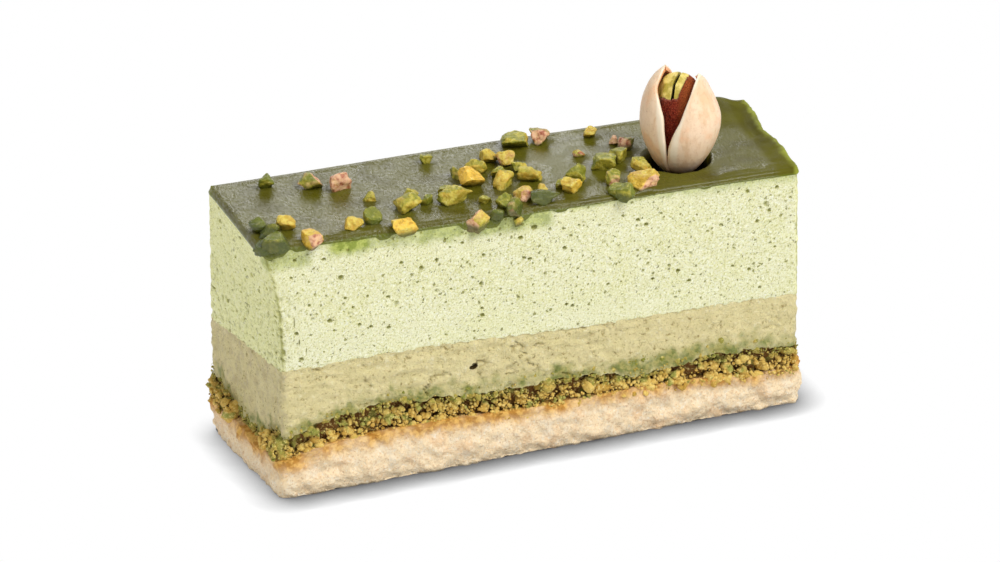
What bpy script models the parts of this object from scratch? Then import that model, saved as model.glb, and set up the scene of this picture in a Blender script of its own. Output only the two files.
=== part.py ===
"""A finger-shaped pistachio layer cake with an open pistachio on top, at its real size.

From the bottom up it is a rough biscuit base, a band of green biscuit crumbs, a dense cream,
an airy mousse and a thin green glaze with chopped nibs. The long side is X, the front is -Y,
and the cake stands on z = 0. Sizes below are in millimetres and become metres in the meshes.
"""

import math
import random

import bmesh
import bpy
from mathutils import Matrix, Vector, noise

MM = 0.001
GAP = 0.3  # air between two pieces that lie on each other

LENGTH = 98.0
DEPTH = 31.0
# Corners of the cut block at a few heights: front left, front right, back right, back left.
# The top front left corner was dragged outwards by the knife.
BLOCK_CORNERS = {
    8.0: ((-46.6, -16.2), (48.7, -15.2), (50.4, 15.2), (-50.9, 14.6)),
    23.5: ((-46.7, -15.9), (48.4, -15.5), (50.6, 15.5), (-50.8, 14.8)),
    34.0: ((-46.9, -15.4), (48.1, -15.4), (50.8, 15.6), (-50.6, 14.4)),
    40.0: ((-47.7, -15.1), (47.9, -15.3), (50.8, 15.7), (-50.5, 14.1)),
    44.0: ((-48.9, -14.7), (47.8, -15.2), (50.8, 15.8), (-50.5, 13.8)),
    46.3: ((-50.0, -14.4), (47.8, -15.2), (50.8, 15.8), (-50.5, 13.5)),
}
# The base lies a little askew under the rest, proud at the front left.
BASE_CORNERS = {
    0.0: ((-48.2, -17.7), (50.6, -14.6), (51.4, 15.8), (-52.2, 12.6)),
    9.0: ((-47.8, -17.4), (50.4, -14.6), (51.2, 16.0), (-52.0, 13.2)),
}

BASE_TOP = 9.1
CRUMB_BAND = 4.4
CREAM_TOP = 23.6
MOUSSE_TOP = 45.0
GLAZE_TOP = 46.3
GLAZE_LIP = 1.0  # how far the glaze curls up along the right end

CORNER_RADIUS = 1.6
ROUND_OFF = 0.29  # how much of its radius a rounded corner loses along each side
BASE_CORNER_RADIUS = 3.0
BASE_EDGE_ROUND = 1.8
BASE_ROUGHNESS = 0.55

CRUMB_CORE_INSET = 1.3
CRUMB_STEP = 3.6
CRUMB_SIZE = (1.9, 3.0)  # smallest and largest width
CRUMB_CLEARANCE = 0.05
SMALLEST_ROOM = 1.3  # a crumb is left out where the band is thinner than this

# The pistachio: where it stands, how its halves open and how thick they are.
NUT_FOOT = (29.6, -4.2, 43.9)
NUT_LENGTH = 20.0
NUT_TURN = -42.0  # degrees from the front to where its slit faces
SHELL_WALL = 0.9
SHELL_SEGMENTS = 10
SHELL_OPENING = {"shell_left_half": -7.5, "shell_right_half": 9.5}
# Half width across the slit and half depth along it, at shares of the length.
SHELL_PROFILE = {
    0.0: (0.0, 0.0),
    0.03: (1.8, 2.2),
    0.1: (3.2, 3.7),
    0.22: (4.4, 5.0),
    0.36: (5.2, 5.9),
    0.52: (5.5, 6.1),
    0.68: (4.9, 5.3),
    0.82: (3.7, 4.0),
    0.93: (2.0, 2.2),
    1.0: (0.0, 0.0),
}
KERNEL_FOOT = 2.4  # above the nut's foot
KERNEL_LENGTH = 16.0
KERNEL_SIZE = (3.7, 3.9)
KERNEL_BLUNTNESS = 0.14
KERNEL_LEAN = -1.5  # degrees towards the right half
KERNEL_SPLIT = (0.7, 5.5)  # width and depth of the gap between the seed leaves
PIT_CENTRE = (29.9, -3.8)
PIT_RADII = (6.9, 6.5)
PIT_FLOOR = 43.3
PIT_CUT = 8.0  # height of the cutter, which stands out above the glaze

# Chopped nibs, each as its place on the glaze and its length, in the groups they fell in.
NIBS_BACK_LEFT = ((-41.5, 8.5, 3.0), (-34.5, 6.0, 4.2), (-30.0, 4.0, 3.6), (-26.5, -2.5, 2.2),
                  (-12.5, 9.0, 2.2))
NIBS_MIDDLE = ((4.5, 10.5, 4.6), (9.5, 11.5, 4.2), (18.5, 10.0, 2.6), (-2.0, 6.0, 3.8),
               (0.5, 3.5, 3.6), (-9.5, 1.5, 2.6), (-6.0, 2.5, 3.8), (-8.5, -2.5, 4.2),
               (-2.5, -0.5, 2.4), (-3.0, -4.5, 4.0), (1.5, 0.0, 2.8), (2.0, -4.0, 3.9))
NIBS_FRONT = ((-13.5, -4.0, 2.4), (-13.0, -8.0, 5.4), (-8.5, -10.5, 2.2), (-6.0, -13.2, 3.2),
              (-1.9, -10.8, 3.3), (1.4, -11.6, 3.2), (9.5, -7.3, 4.0), (6.8, -11.0, 3.0),
              (4.2, -8.6, 2.0))
NIBS_BY_NUT = ((13.4, 2.4, 1.8), (21.3, 5.4, 2.0), (15.9, -3.4, 4.6), (19.6, -1.2, 3.3),
               (22.6, 2.8, 3.4), (21.2, -8.4, 4.6), (19.4, -12.6, 5.0), (15.2, -10.2, 3.2))
NIBS_LEFT = ((-20.0, -5.0, 2.2), (-18.0, -7.5, 2.2), (-22.0, -8.5, 4.4), (-43.5, -9.5, 3.0),
             (-48.0, -9.0, 2.6), (-33.0, -13.0, 3.0), (-29.5, -11.5, 4.0))
NIBS = NIBS_BACK_LEFT + NIBS_MIDDLE + NIBS_FRONT + NIBS_BY_NUT + NIBS_LEFT
# Nibs and lumps of glaze that hang over the front edge: place along it, drop and length.
EDGE_NIBS = ((-45.8, 0.4, 4.2), (-40.6, 0.2, 4.0), (-25.5, 0.0, 4.3), (-11.0, 1.8, 4.0),
             (-6.5, 2.0, 4.2), (0.5, 0.4, 4.4), (14.8, 0.3, 4.6))
EDGE_DRIPS = ((-47.4, 1.6, 2.8), (-43.5, 1.4, 2.4), (-28.0, 1.2, 2.0), (-14.5, 1.6, 2.4),
              (-8.8, 2.4, 3.0), (-3.5, 2.0, 2.6), (3.6, 1.4, 2.4), (30.2, 0.8, 1.8))


def smooth_step(low, high, value):
    share = min(max((value - low) / (high - low), 0.0), 1.0)
    return share * share * (3 - 2 * share)


def corners_at(table, z):
    """The four corners at a height, in straight lines between the table's rows."""
    heights = sorted(table)
    z = min(max(z, heights[0]), heights[-1])
    upper = next(height for height in heights if height >= z)
    lower = max(height for height in heights if height <= z)
    share = 0.0 if upper == lower else (z - lower) / (upper - lower)
    return [Vector(a).lerp(Vector(b), share) for a, b in zip(table[lower], table[upper])]


def plan_point(corners, u, v, z):
    """A place in plan at shares u of the length and v of the depth."""
    front_left, front_right, back_right, back_left = corners_at(corners, z)
    return front_left.lerp(front_right, u).lerp(back_left.lerp(back_right, u), v)


def base_top(x, y):
    """The base is uneven, and thinner towards its ends."""
    left = (2.4 + 0.025 * (y + 15)) * smooth_step(-38, -50, x)
    right = 1.2 * smooth_step(0, 50, x)
    return BASE_TOP - left - right + 0.35 * math.sin(x / 7.1 + y / 9.0)


def crumb_top(x, y):
    """The cream was smeared down over the crumbs in the middle of the left end."""
    smeared = smooth_step(-42, -49, x) * (1 - smooth_step(3, 12, abs(y + 1)))
    wave = 0.45 * math.sin(x / 5.3 + 1.0) + 0.3 * math.sin(x / 11.0 + y / 6.0)
    return base_top(x, y) + CRUMB_BAND + wave - 3.1 * smeared


def cream_top(x, y):
    """The cream sinks towards the back, most at the left end, and a little to the right."""
    slope = 0.03 + 0.08 * smooth_step(20, -50, x)
    wave = 0.3 * math.sin(x / 9.0 + y / 8.0)
    return CREAM_TOP - slope * (y + DEPTH / 2) - 1.1 * smooth_step(-15, 35, x) + wave


def mousse_top(x, y):
    return MOUSSE_TOP + 0.15 * math.sin(x / 15.0)


def glaze_top(x, y):
    """The glaze is level, with a lip curled up along the right end that fades to the front."""
    along = (y + DEPTH / 2) / DEPTH
    right_end = plan_point(BLOCK_CORNERS, 1.0, along, GLAZE_TOP).x
    lip = GLAZE_LIP * smooth_step(3.0, 0.0, right_end - x) * smooth_step(-0.05, 0.4, along)
    return GLAZE_TOP + 0.12 * math.sin(x / 13.0 + y / 7.0) + lip


def unit_block(cells):
    """A closed block from 0 to 1 each way, cut into cells along x, y and z."""
    mesh = bmesh.new()
    bmesh.ops.create_cube(mesh, size=1, matrix=Matrix.Translation((0.5, 0.5, 0.5)))
    for axis, count in enumerate(cells):
        along = [e for e in mesh.edges if abs((e.verts[0].co - e.verts[1].co)[axis]) > 1e-4]
        bmesh.ops.subdivide_edges(mesh, edges=along, cuts=count - 1, use_grid_fill=True)
    return mesh


def corner_spacing(share, cells, radius, length):
    """Evenly spaced cells, but for a first and last one as wide as the corner's radius."""
    step = round(share * cells)
    edge = radius / length
    if step in (0, cells):
        return step / cells
    return edge + (1 - 2 * edge) * (step - 1) / (cells - 2)


def slab(cells, corners, low, high, radius=CORNER_RADIUS, grow=0.0, relief=None):
    """A layer between two height functions, whose plan follows the corner table."""
    mesh = unit_block(cells)
    for vert in mesh.verts:
        u = corner_spacing(vert.co.x, cells[0], radius, LENGTH)
        v = corner_spacing(vert.co.y, cells[1], radius, DEPTH)
        place = plan_point(corners, u, v, CREAM_TOP)
        for _ in range(2):
            z = low(*place) + vert.co.z * (high(*place) - low(*place))
            place = plan_point(corners, u, v, z)
        at_end, at_side = u in (0.0, 1.0), v in (0.0, 1.0)
        if at_end and at_side:
            place -= ROUND_OFF * radius * Vector((2 * u - 1, 2 * v - 1))
        if at_end:
            place.x += grow * (2 * u - 1)
        if at_side:
            place.y += grow * (2 * v - 1)
        vert.co = Vector((place.x, place.y, z))
    if relief:
        relief(mesh)
    return mesh


def finish_object(name, mesh, material, smooth=None):
    """Turns a bmesh in millimetres into an object in metres."""
    bmesh.ops.triangulate(mesh, faces=mesh.faces[:])
    bmesh.ops.scale(mesh, vec=(MM, MM, MM), verts=mesh.verts[:])
    bmesh.ops.recalc_face_normals(mesh, faces=mesh.faces[:])
    data = bpy.data.meshes.new(name)
    mesh.to_mesh(data)
    mesh.free()
    made = bpy.data.objects.new(name, data)
    bpy.context.scene.collection.objects.link(made)
    if material:
        data.materials.append(material)
    if smooth:
        data.shade_smooth()
        data.set_sharp_from_angle(angle=math.radians(smooth))
    return made


def food_material(name, color, roughness):
    material = bpy.data.materials.new(name)
    material.use_nodes = True
    shader = material.node_tree.nodes["Principled BSDF"]
    shader.inputs["Base Color"].default_value = (*color, 1.0)
    shader.inputs["Roughness"].default_value = roughness
    shader.inputs["Metallic"].default_value = 0.0
    return material


def helper(obj):
    obj.hide_render = True
    obj.display_type = "WIRE"
    return obj


def apply_boolean(target, operation, tool=None, collection=None, solver="EXACT"):
    """Applies one Boolean and removes what it was made with."""
    modifier = target.modifiers.new(operation.title(), "BOOLEAN")
    modifier.operation = operation
    modifier.solver = solver
    if collection:
        modifier.operand_type = "COLLECTION"
        modifier.collection = collection
        used = list(collection.objects)
    else:
        modifier.object = tool
        used = [tool]
    graph = bpy.context.evaluated_depsgraph_get()
    joined = bpy.data.meshes.new_from_object(target.evaluated_get(graph))
    target.modifiers.remove(modifier)
    target.data = joined
    for other in used:
        bpy.data.objects.remove(other)
    if collection:
        bpy.data.collections.remove(collection)
    keep_outer_body(target)


def keep_outer_body(obj):
    """Fills the hollows that fusing sealed and drops loose scraps: only the largest shell stays."""
    mesh = bmesh.new()
    mesh.from_mesh(obj.data)
    left, shells = set(mesh.faces), []
    while left:
        shell, open_faces = set(), [left.pop()]
        while open_faces:
            face = open_faces.pop()
            shell.add(face)
            beside = {other for edge in face.edges for other in edge.link_faces} & left
            left -= beside
            open_faces.extend(beside)
        shells.append(shell)
    shells.sort(key=len)
    for shell in shells[:-1]:
        bmesh.ops.delete(mesh, geom=list(shell), context="FACES")
    mesh.to_mesh(obj.data)
    mesh.free()


def small_pieces(name):
    collection = bpy.data.collections.new(name)
    bpy.context.scene.collection.children.link(collection)
    return collection


def put_in(collection, obj):
    bpy.context.scene.collection.objects.unlink(obj)
    collection.objects.link(obj)
    return obj


def rough_sides(mesh):
    """Pushes the base's sides in and out like broken biscuit, and rounds its lower edge."""
    for vert in mesh.verts:
        x, y, z = vert.co
        outwards = Vector((0.0, 0.0, 0.0))
        if abs(x) > 0.93 * LENGTH / 2:
            outwards.x = math.copysign(1.0, x)
        if abs(y) > 0.78 * DEPTH / 2:
            outwards.y = math.copysign(1.0, y)
        coarse = noise.noise(Vector((x, y, 1.7 * z)) * 0.23)
        fine = noise.noise(Vector((x, y, z)) * 0.6)
        under = 1 - smooth_step(0.0, 1.6 * BASE_EDGE_ROUND, z)
        push = BASE_ROUGHNESS * (coarse + 0.6 * fine) - 0.5 * BASE_EDGE_ROUND * under
        vert.co += push * outwards.normalized()
        vert.co.z *= base_top(vert.co.x, vert.co.y) / base_top(x, y)


def biscuit_base(material):
    mesh = slab((27, 8, 4), BASE_CORNERS, lambda x, y: 0.0, lambda x, y: base_top(x, y) - GAP / 2,
                radius=BASE_CORNER_RADIUS, relief=rough_sides)
    return finish_object("biscuit_base", mesh, material, smooth=40)


def crumb(rng, width, height):
    """An irregular crumb of broken biscuit, with few faces, between z = 0 and its height."""
    mesh = bmesh.new()
    bmesh.ops.create_cube(mesh, size=0.8 * width)
    for vert in mesh.verts:
        vert.co *= 1 + rng.uniform(-0.25, 0.25)
    tilt = Matrix.Rotation(rng.uniform(0.3, 1.2), 4, "X")
    turn = Matrix.Rotation(rng.uniform(0, math.tau), 4, "Z")
    bmesh.ops.transform(mesh, matrix=turn @ tilt, verts=mesh.verts[:])
    lowest = min(vert.co.z for vert in mesh.verts)
    highest = max(vert.co.z for vert in mesh.verts)
    for vert in mesh.verts:
        vert.co.z = (vert.co.z - lowest) / (highest - lowest) * height
    return mesh


def crumb_rows():
    """Places round the edge of the crumb band: plan position and which of two rows it is in."""
    sides = {"front": ((0, 0), (1, 0)), "right": ((1, 0), (1, 1)),
             "back": ((1, 1), (0, 1)), "left": ((0, 1), (0, 0))}
    for start, end in sides.values():
        first, last = (plan_point(BLOCK_CORNERS, *end_uv, 11.0) for end_uv in (start, end))
        count = round((last - first).length / CRUMB_STEP)
        for row in (0, 1):
            for step in range(count):
                yield first.lerp(last, (step + 0.25 + 0.5 * row) / count), row


def outward_step(place):
    """One millimetre straight out over the nearest side, from a place near the edge."""
    if abs(place.x) > 0.94 * LENGTH / 2:
        return Vector((math.copysign(1.0, place.x), 0.0))
    return Vector((0.0, math.copysign(1.0, place.y)))


def crumb_layer(material):
    """A slab set in from the edge, with crumbs fused round it."""
    def low(x, y):
        return base_top(x, y) + GAP / 2

    def high(x, y):
        return crumb_top(x, y) - GAP / 2

    mesh = slab((20, 5, 1), BLOCK_CORNERS, low, high, grow=-CRUMB_CORE_INSET)
    core = finish_object("crumb_layer", mesh, material)
    rng = random.Random(41)
    crumbs = small_pieces("crumbs")
    for place, row in crumb_rows():
        width = rng.uniform(*CRUMB_SIZE)
        x, y = place - outward_step(place) * rng.uniform(0.0, 0.8)
        reach = 0.6 * width
        around = [(x + i * reach, y + j * reach) for i in (-1, 0, 1) for j in (-1, 0, 1)]
        floor = max(low(*spot) for spot in around) + CRUMB_CLEARANCE
        room = min(high(*spot) for spot in around) - CRUMB_CLEARANCE - floor
        if room < SMALLEST_ROOM:
            continue
        height = min(0.9 * width, room)
        z = floor + row * (room - height) * rng.uniform(0.8, 1.0)
        piece = moved(crumb(rng, width, height), Vector((x, y, z)))
        put_in(crumbs, finish_object("crumb", piece, material))
    apply_boolean(core, "UNION", collection=crumbs, solver="MANIFOLD")
    return core


def cream_layer(material):
    mesh = slab((22, 6, 3), BLOCK_CORNERS, lambda x, y: crumb_top(x, y) + GAP / 2,
                lambda x, y: cream_top(x, y) - GAP / 2)
    return finish_object("cream_layer", mesh, material, smooth=40)


def pit_cutter():
    """The bowl that the nut was pressed into."""
    mesh = bmesh.new()
    bmesh.ops.create_cone(mesh, cap_ends=True, segments=20, radius1=0.78, radius2=1.25, depth=PIT_CUT)
    bmesh.ops.scale(mesh, vec=(*PIT_RADII, 1.0), verts=mesh.verts[:])
    moved(mesh, Vector((*PIT_CENTRE, PIT_FLOOR + PIT_CUT / 2)))
    return helper(finish_object("pit_cutter", mesh, None))


def mousse_layer(material):
    mesh = slab((22, 6, 5), BLOCK_CORNERS, lambda x, y: cream_top(x, y) + GAP / 2, mousse_top)
    made = finish_object("mousse_layer", mesh, material, smooth=40)
    apply_boolean(made, "DIFFERENCE", tool=pit_cutter())
    return made


def chopped_nib(rng, length):
    """A chunk of nut with a knife-cut side: a squared grain, longer than it is wide."""
    width = length * rng.uniform(0.62, 0.85)
    height = min(length, 3.6) * rng.uniform(0.6, 0.8)
    mesh = bmesh.new()
    bmesh.ops.create_icosphere(mesh, subdivisions=1, radius=1.0)
    for vert in mesh.verts:
        squared = Vector([math.copysign(abs(c) ** 0.7, c) for c in vert.co])
        squared *= 1 + rng.uniform(-0.16, 0.16)
        vert.co = Vector((squared.x * length / 2, squared.y * width / 2, squared.z * height / 2))
    tilt = Matrix.Rotation(rng.uniform(-0.25, 0.25), 4, "X")
    turn = Matrix.Rotation(rng.uniform(0, math.pi), 4, "Z")
    bmesh.ops.transform(mesh, matrix=turn @ tilt, verts=mesh.verts[:])
    return mesh, height


def moved(mesh, place):
    bmesh.ops.translate(mesh, vec=place, verts=mesh.verts[:])
    return mesh


def glaze_outline(mesh):
    """Lets the sheet's edge wander a little, as poured glaze does where it is cut."""
    for vert in mesh.verts:
        x, y, _ = vert.co
        wander = 0.35 * math.sin(x / 2.3) * math.sin(x / 5.9 + 1.0)
        if y < -0.9 * DEPTH / 2:
            vert.co.y += wander - 0.15
        if y > 0.84 * DEPTH / 2:
            vert.co.y += wander


def glaze(material):
    """The poured sheet with its nibs, drips and edge lumps fused on, and the pit for the nut."""
    mesh = slab((26, 7, 1), BLOCK_CORNERS, lambda x, y: mousse_top(x, y) + GAP, glaze_top,
                relief=glaze_outline)
    sheet = finish_object("glaze", mesh, material)
    apply_boolean(sheet, "DIFFERENCE", tool=pit_cutter())
    rng = random.Random(7)
    toppings = small_pieces("toppings")
    for x, y, length in NIBS:
        nib, height = chopped_nib(rng, length)
        place = Vector((x, y, glaze_top(x, y) + 0.3 * height))
        put_in(toppings, finish_object("nib", moved(nib, place), material))
    for x, drop, length in EDGE_NIBS:
        nib, height = chopped_nib(rng, length)
        place = Vector((x, front_edge(x) - 0.2, GLAZE_TOP + 0.2 * height - drop))
        put_in(toppings, finish_object("nib", moved(nib, place), material))
    for x, drop, width in EDGE_DRIPS:
        drip = bmesh.new()
        bmesh.ops.create_icosphere(drip, subdivisions=1, radius=1.0)
        bmesh.ops.rotate(drip, matrix=Matrix.Rotation(0.5, 3, "X"), verts=drip.verts[:])
        bmesh.ops.scale(drip, vec=(width / 2, 1.1, 0.6 + drop / 2), verts=drip.verts[:])
        place = Vector((x, front_edge(x) - 0.1, GLAZE_TOP - 0.4 - drop / 2))
        put_in(toppings, finish_object("drip", moved(drip, place), material))
    apply_boolean(sheet, "UNION", collection=toppings)
    below_drips = MOUSSE_TOP - 7.0
    room = slab((22, 6, 5), BLOCK_CORNERS, lambda x, y: below_drips,
                lambda x, y: mousse_top(x, y) + 0.9 * GAP, grow=GAP)
    apply_boolean(sheet, "DIFFERENCE", tool=helper(finish_object("room_for_mousse", room, None)))
    return sheet


def front_edge(x):
    """The front edge of the top, at a place along it."""
    return plan_point(BLOCK_CORNERS, (x + LENGTH / 2) / LENGTH, 0.0, GLAZE_TOP).y


def half_skin(mesh, side, inset):
    """One skin of a half shell, set in by a wall's thickness or not at all; returns its rim."""
    rows = []
    apart = side * GAP / 2
    for share in sorted(SHELL_PROFILE)[1:-1]:
        half_width, half_depth = SHELL_PROFILE[share]
        z = share * NUT_LENGTH + 0.6 * inset * (1 - 2 * share)
        row = []
        for step in range(SHELL_SEGMENTS + 1):
            angle = math.pi * (step / SHELL_SEGMENTS - 0.5)
            x = side * (half_width - inset) * math.cos(angle) + apart
            row.append(mesh.verts.new((x, (half_depth - inset) * math.sin(angle), z)))
        rows.append(row)
    foot = mesh.verts.new((apart, 0.0, inset))
    tip = mesh.verts.new((apart, 0.0, NUT_LENGTH - 1.6 * inset))
    for lower, upper in zip(rows, rows[1:]):
        for step in range(SHELL_SEGMENTS):
            mesh.faces.new((lower[step], lower[step + 1], upper[step + 1], upper[step]))
    for step in range(SHELL_SEGMENTS):
        mesh.faces.new((foot, rows[0][step + 1], rows[0][step]))
        mesh.faces.new((tip, rows[-1][step], rows[-1][step + 1]))
    return [foot] + [row[0] for row in rows] + [tip] + [row[-1] for row in reversed(rows)]


def half_shell(name, side, material):
    """One half of the shell: an outer and an inner skin closed round the rim."""
    mesh = bmesh.new()
    outer = half_skin(mesh, side, 0.0)
    inner = half_skin(mesh, side, SHELL_WALL)
    for step in range(len(outer)):
        mesh.faces.new((outer[step - 1], outer[step], inner[step], inner[step - 1]))
    turn = Matrix.Rotation(math.radians(SHELL_OPENING[name]), 4, "Y")
    bmesh.ops.transform(mesh, matrix=nut_frame() @ turn, verts=mesh.verts[:])
    return finish_object(name, mesh, material, smooth=50)


def nut_frame():
    return Matrix.Translation(NUT_FOOT) @ Matrix.Rotation(math.radians(NUT_TURN), 4, "Z")


def kernel(material):
    """The seed in the open shell, blunt at the top and split between its two leaves."""
    mesh = bmesh.new()
    bmesh.ops.create_uvsphere(mesh, u_segments=16, v_segments=10, radius=1.0)
    for vert in mesh.verts:
        share = (vert.co.z + 1) / 2
        blunt = 1.0 + KERNEL_BLUNTNESS * smooth_step(0.5, 0.9, share)
        vert.co.x *= KERNEL_SIZE[0] * blunt
        vert.co.y *= KERNEL_SIZE[1] * blunt
        vert.co.z = KERNEL_FOOT + share * KERNEL_LENGTH
    lean = Matrix.Rotation(math.radians(KERNEL_LEAN), 4, "Y")
    bmesh.ops.transform(mesh, matrix=nut_frame() @ lean, verts=mesh.verts[:])
    made = finish_object("kernel", mesh, material, smooth=50)
    width, depth = KERNEL_SPLIT
    split = bmesh.new()
    bmesh.ops.create_cube(split, size=1)
    bmesh.ops.scale(split, vec=(width, 2 * NUT_LENGTH, 2 * depth), verts=split.verts[:])
    moved(split, Vector((-0.2, 0.0, KERNEL_FOOT + KERNEL_LENGTH)))
    bmesh.ops.transform(split, matrix=nut_frame(), verts=split.verts[:])
    apply_boolean(made, "DIFFERENCE", tool=helper(finish_object("split_cutter", split, None)))
    return made


def main():
    for obj in list(bpy.data.objects):
        bpy.data.objects.remove(obj)
    biscuit_base(food_material("biscuit", (0.80, 0.62, 0.38), 0.85))
    crumb_layer(food_material("green crumbs", (0.20, 0.19, 0.05), 0.8))
    cream_layer(food_material("cream", (0.58, 0.54, 0.25), 0.55))
    mousse_layer(food_material("mousse", (0.70, 0.78, 0.40), 0.65))
    glaze(food_material("glaze", (0.12, 0.13, 0.04), 0.25))
    ivory = food_material("shell", (0.82, 0.66, 0.47), 0.5)
    half_shell("shell_left_half", -1, ivory)
    half_shell("shell_right_half", 1, ivory)
    kernel(food_material("kernel", (0.32, 0.10, 0.08), 0.6))


main()
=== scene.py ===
"""The looks of a finger of layered pistachio cake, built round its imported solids.

The file is laid out as a Blender add-on and is run as a script. Lengths are in millimetres and
become metres where a mesh is finished. The long side is X, the front is -Y, and +Z is up.
"""

import math
import random

import bpy
import numpy as np
from mathutils import Matrix, Vector, noise


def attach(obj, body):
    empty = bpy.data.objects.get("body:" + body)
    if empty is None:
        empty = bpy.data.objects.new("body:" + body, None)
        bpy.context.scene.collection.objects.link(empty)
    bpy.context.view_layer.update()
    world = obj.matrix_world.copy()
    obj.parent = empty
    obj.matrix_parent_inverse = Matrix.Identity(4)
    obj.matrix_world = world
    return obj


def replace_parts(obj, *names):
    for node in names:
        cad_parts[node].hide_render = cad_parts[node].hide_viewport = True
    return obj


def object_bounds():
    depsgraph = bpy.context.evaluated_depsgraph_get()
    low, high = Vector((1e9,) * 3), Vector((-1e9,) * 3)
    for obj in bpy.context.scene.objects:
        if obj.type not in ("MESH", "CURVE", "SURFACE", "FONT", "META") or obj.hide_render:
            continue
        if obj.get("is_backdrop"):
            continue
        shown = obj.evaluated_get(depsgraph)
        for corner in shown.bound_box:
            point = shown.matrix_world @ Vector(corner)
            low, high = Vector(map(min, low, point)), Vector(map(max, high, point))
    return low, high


bl_info = {
    "name": "Layered Pistachio Cake",
    "version": (1, 0, 0),
    "blender": (4, 5, 0),
    "location": "3D View > Sidebar > Cake",
    "description": "Builds the looks of a layered pistachio cake round its packed solids",
    "category": "Object",
}

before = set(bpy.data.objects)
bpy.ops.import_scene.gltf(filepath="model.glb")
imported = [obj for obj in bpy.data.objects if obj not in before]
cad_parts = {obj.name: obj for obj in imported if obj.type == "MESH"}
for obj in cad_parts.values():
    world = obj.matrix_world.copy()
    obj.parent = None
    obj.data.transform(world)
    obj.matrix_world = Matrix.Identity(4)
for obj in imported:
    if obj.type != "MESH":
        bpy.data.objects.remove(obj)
SOLID_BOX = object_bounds()
MM = 0.001
# Lengths and shares under this are nothing.
TINY = 1e-4

# The form of the solids: corners of the cut block and of the base at a few heights.
# Front left, front right, back right, back left.
LENGTH = 98.0
DEPTH = 31.0
BLOCK_CORNERS = {
    8.0: ((-46.6, -16.2), (48.7, -15.2), (50.4, 15.2), (-50.9, 14.6)),
    23.5: ((-46.7, -15.9), (48.4, -15.5), (50.6, 15.5), (-50.8, 14.8)),
    34.0: ((-46.9, -15.4), (48.1, -15.4), (50.8, 15.6), (-50.6, 14.4)),
    40.0: ((-47.7, -15.1), (47.9, -15.3), (50.8, 15.7), (-50.5, 14.1)),
    44.0: ((-48.9, -14.7), (47.8, -15.2), (50.8, 15.8), (-50.5, 13.8)),
    46.3: ((-50.0, -14.4), (47.8, -15.2), (50.8, 15.8), (-50.5, 13.5)),
}
BASE_CORNERS = {
    0.0: ((-48.2, -17.7), (50.6, -14.6), (51.4, 15.8), (-52.2, 12.6)),
    9.0: ((-47.8, -17.4), (50.4, -14.6), (51.2, 16.0), (-52.0, 13.2)),
}
BASE_TOP = 9.1
CRUMB_BAND = 4.4
CREAM_TOP = 23.6
MOUSSE_TOP = 45.35
GLAZE_TOP = 46.3
GLAZE_LIP = 1.0
# How far the nut pushed the glaze up behind it.
BACK_SWELL = 2.2
BASE_ROUGHNESS = 0.55
BASE_EDGE_ROUND = 1.8

NUT_FOOT = (29.6, -4.2, 43.9)
NUT_LENGTH = 20.0
NUT_TURN = -42.0
SHELL_WALL = 0.9
SHELL_OPENING = {"left": -7.5, "right": 9.5}
# Half width across the slit and half depth along it, at shares of the length.
SHELL_PROFILE = ((0.0, 0.0, 0.0), (0.03, 1.8, 2.2), (0.1, 3.2, 3.7), (0.22, 4.4, 5.0),
                 (0.36, 5.2, 5.9), (0.52, 5.5, 6.1), (0.68, 4.9, 5.3), (0.82, 3.7, 4.0),
                 (0.93, 2.0, 2.2), (1.0, 0.0, 0.0))
KERNEL_FOOT = 2.4
KERNEL_LENGTH = 16.0
KERNEL_SIZE = (3.7, 3.9)
PIT_CENTRE = (29.5, -3.9)
PIT_RADII = (5.8, 6.1)
PIT_DEPTH = 3.0

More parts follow.
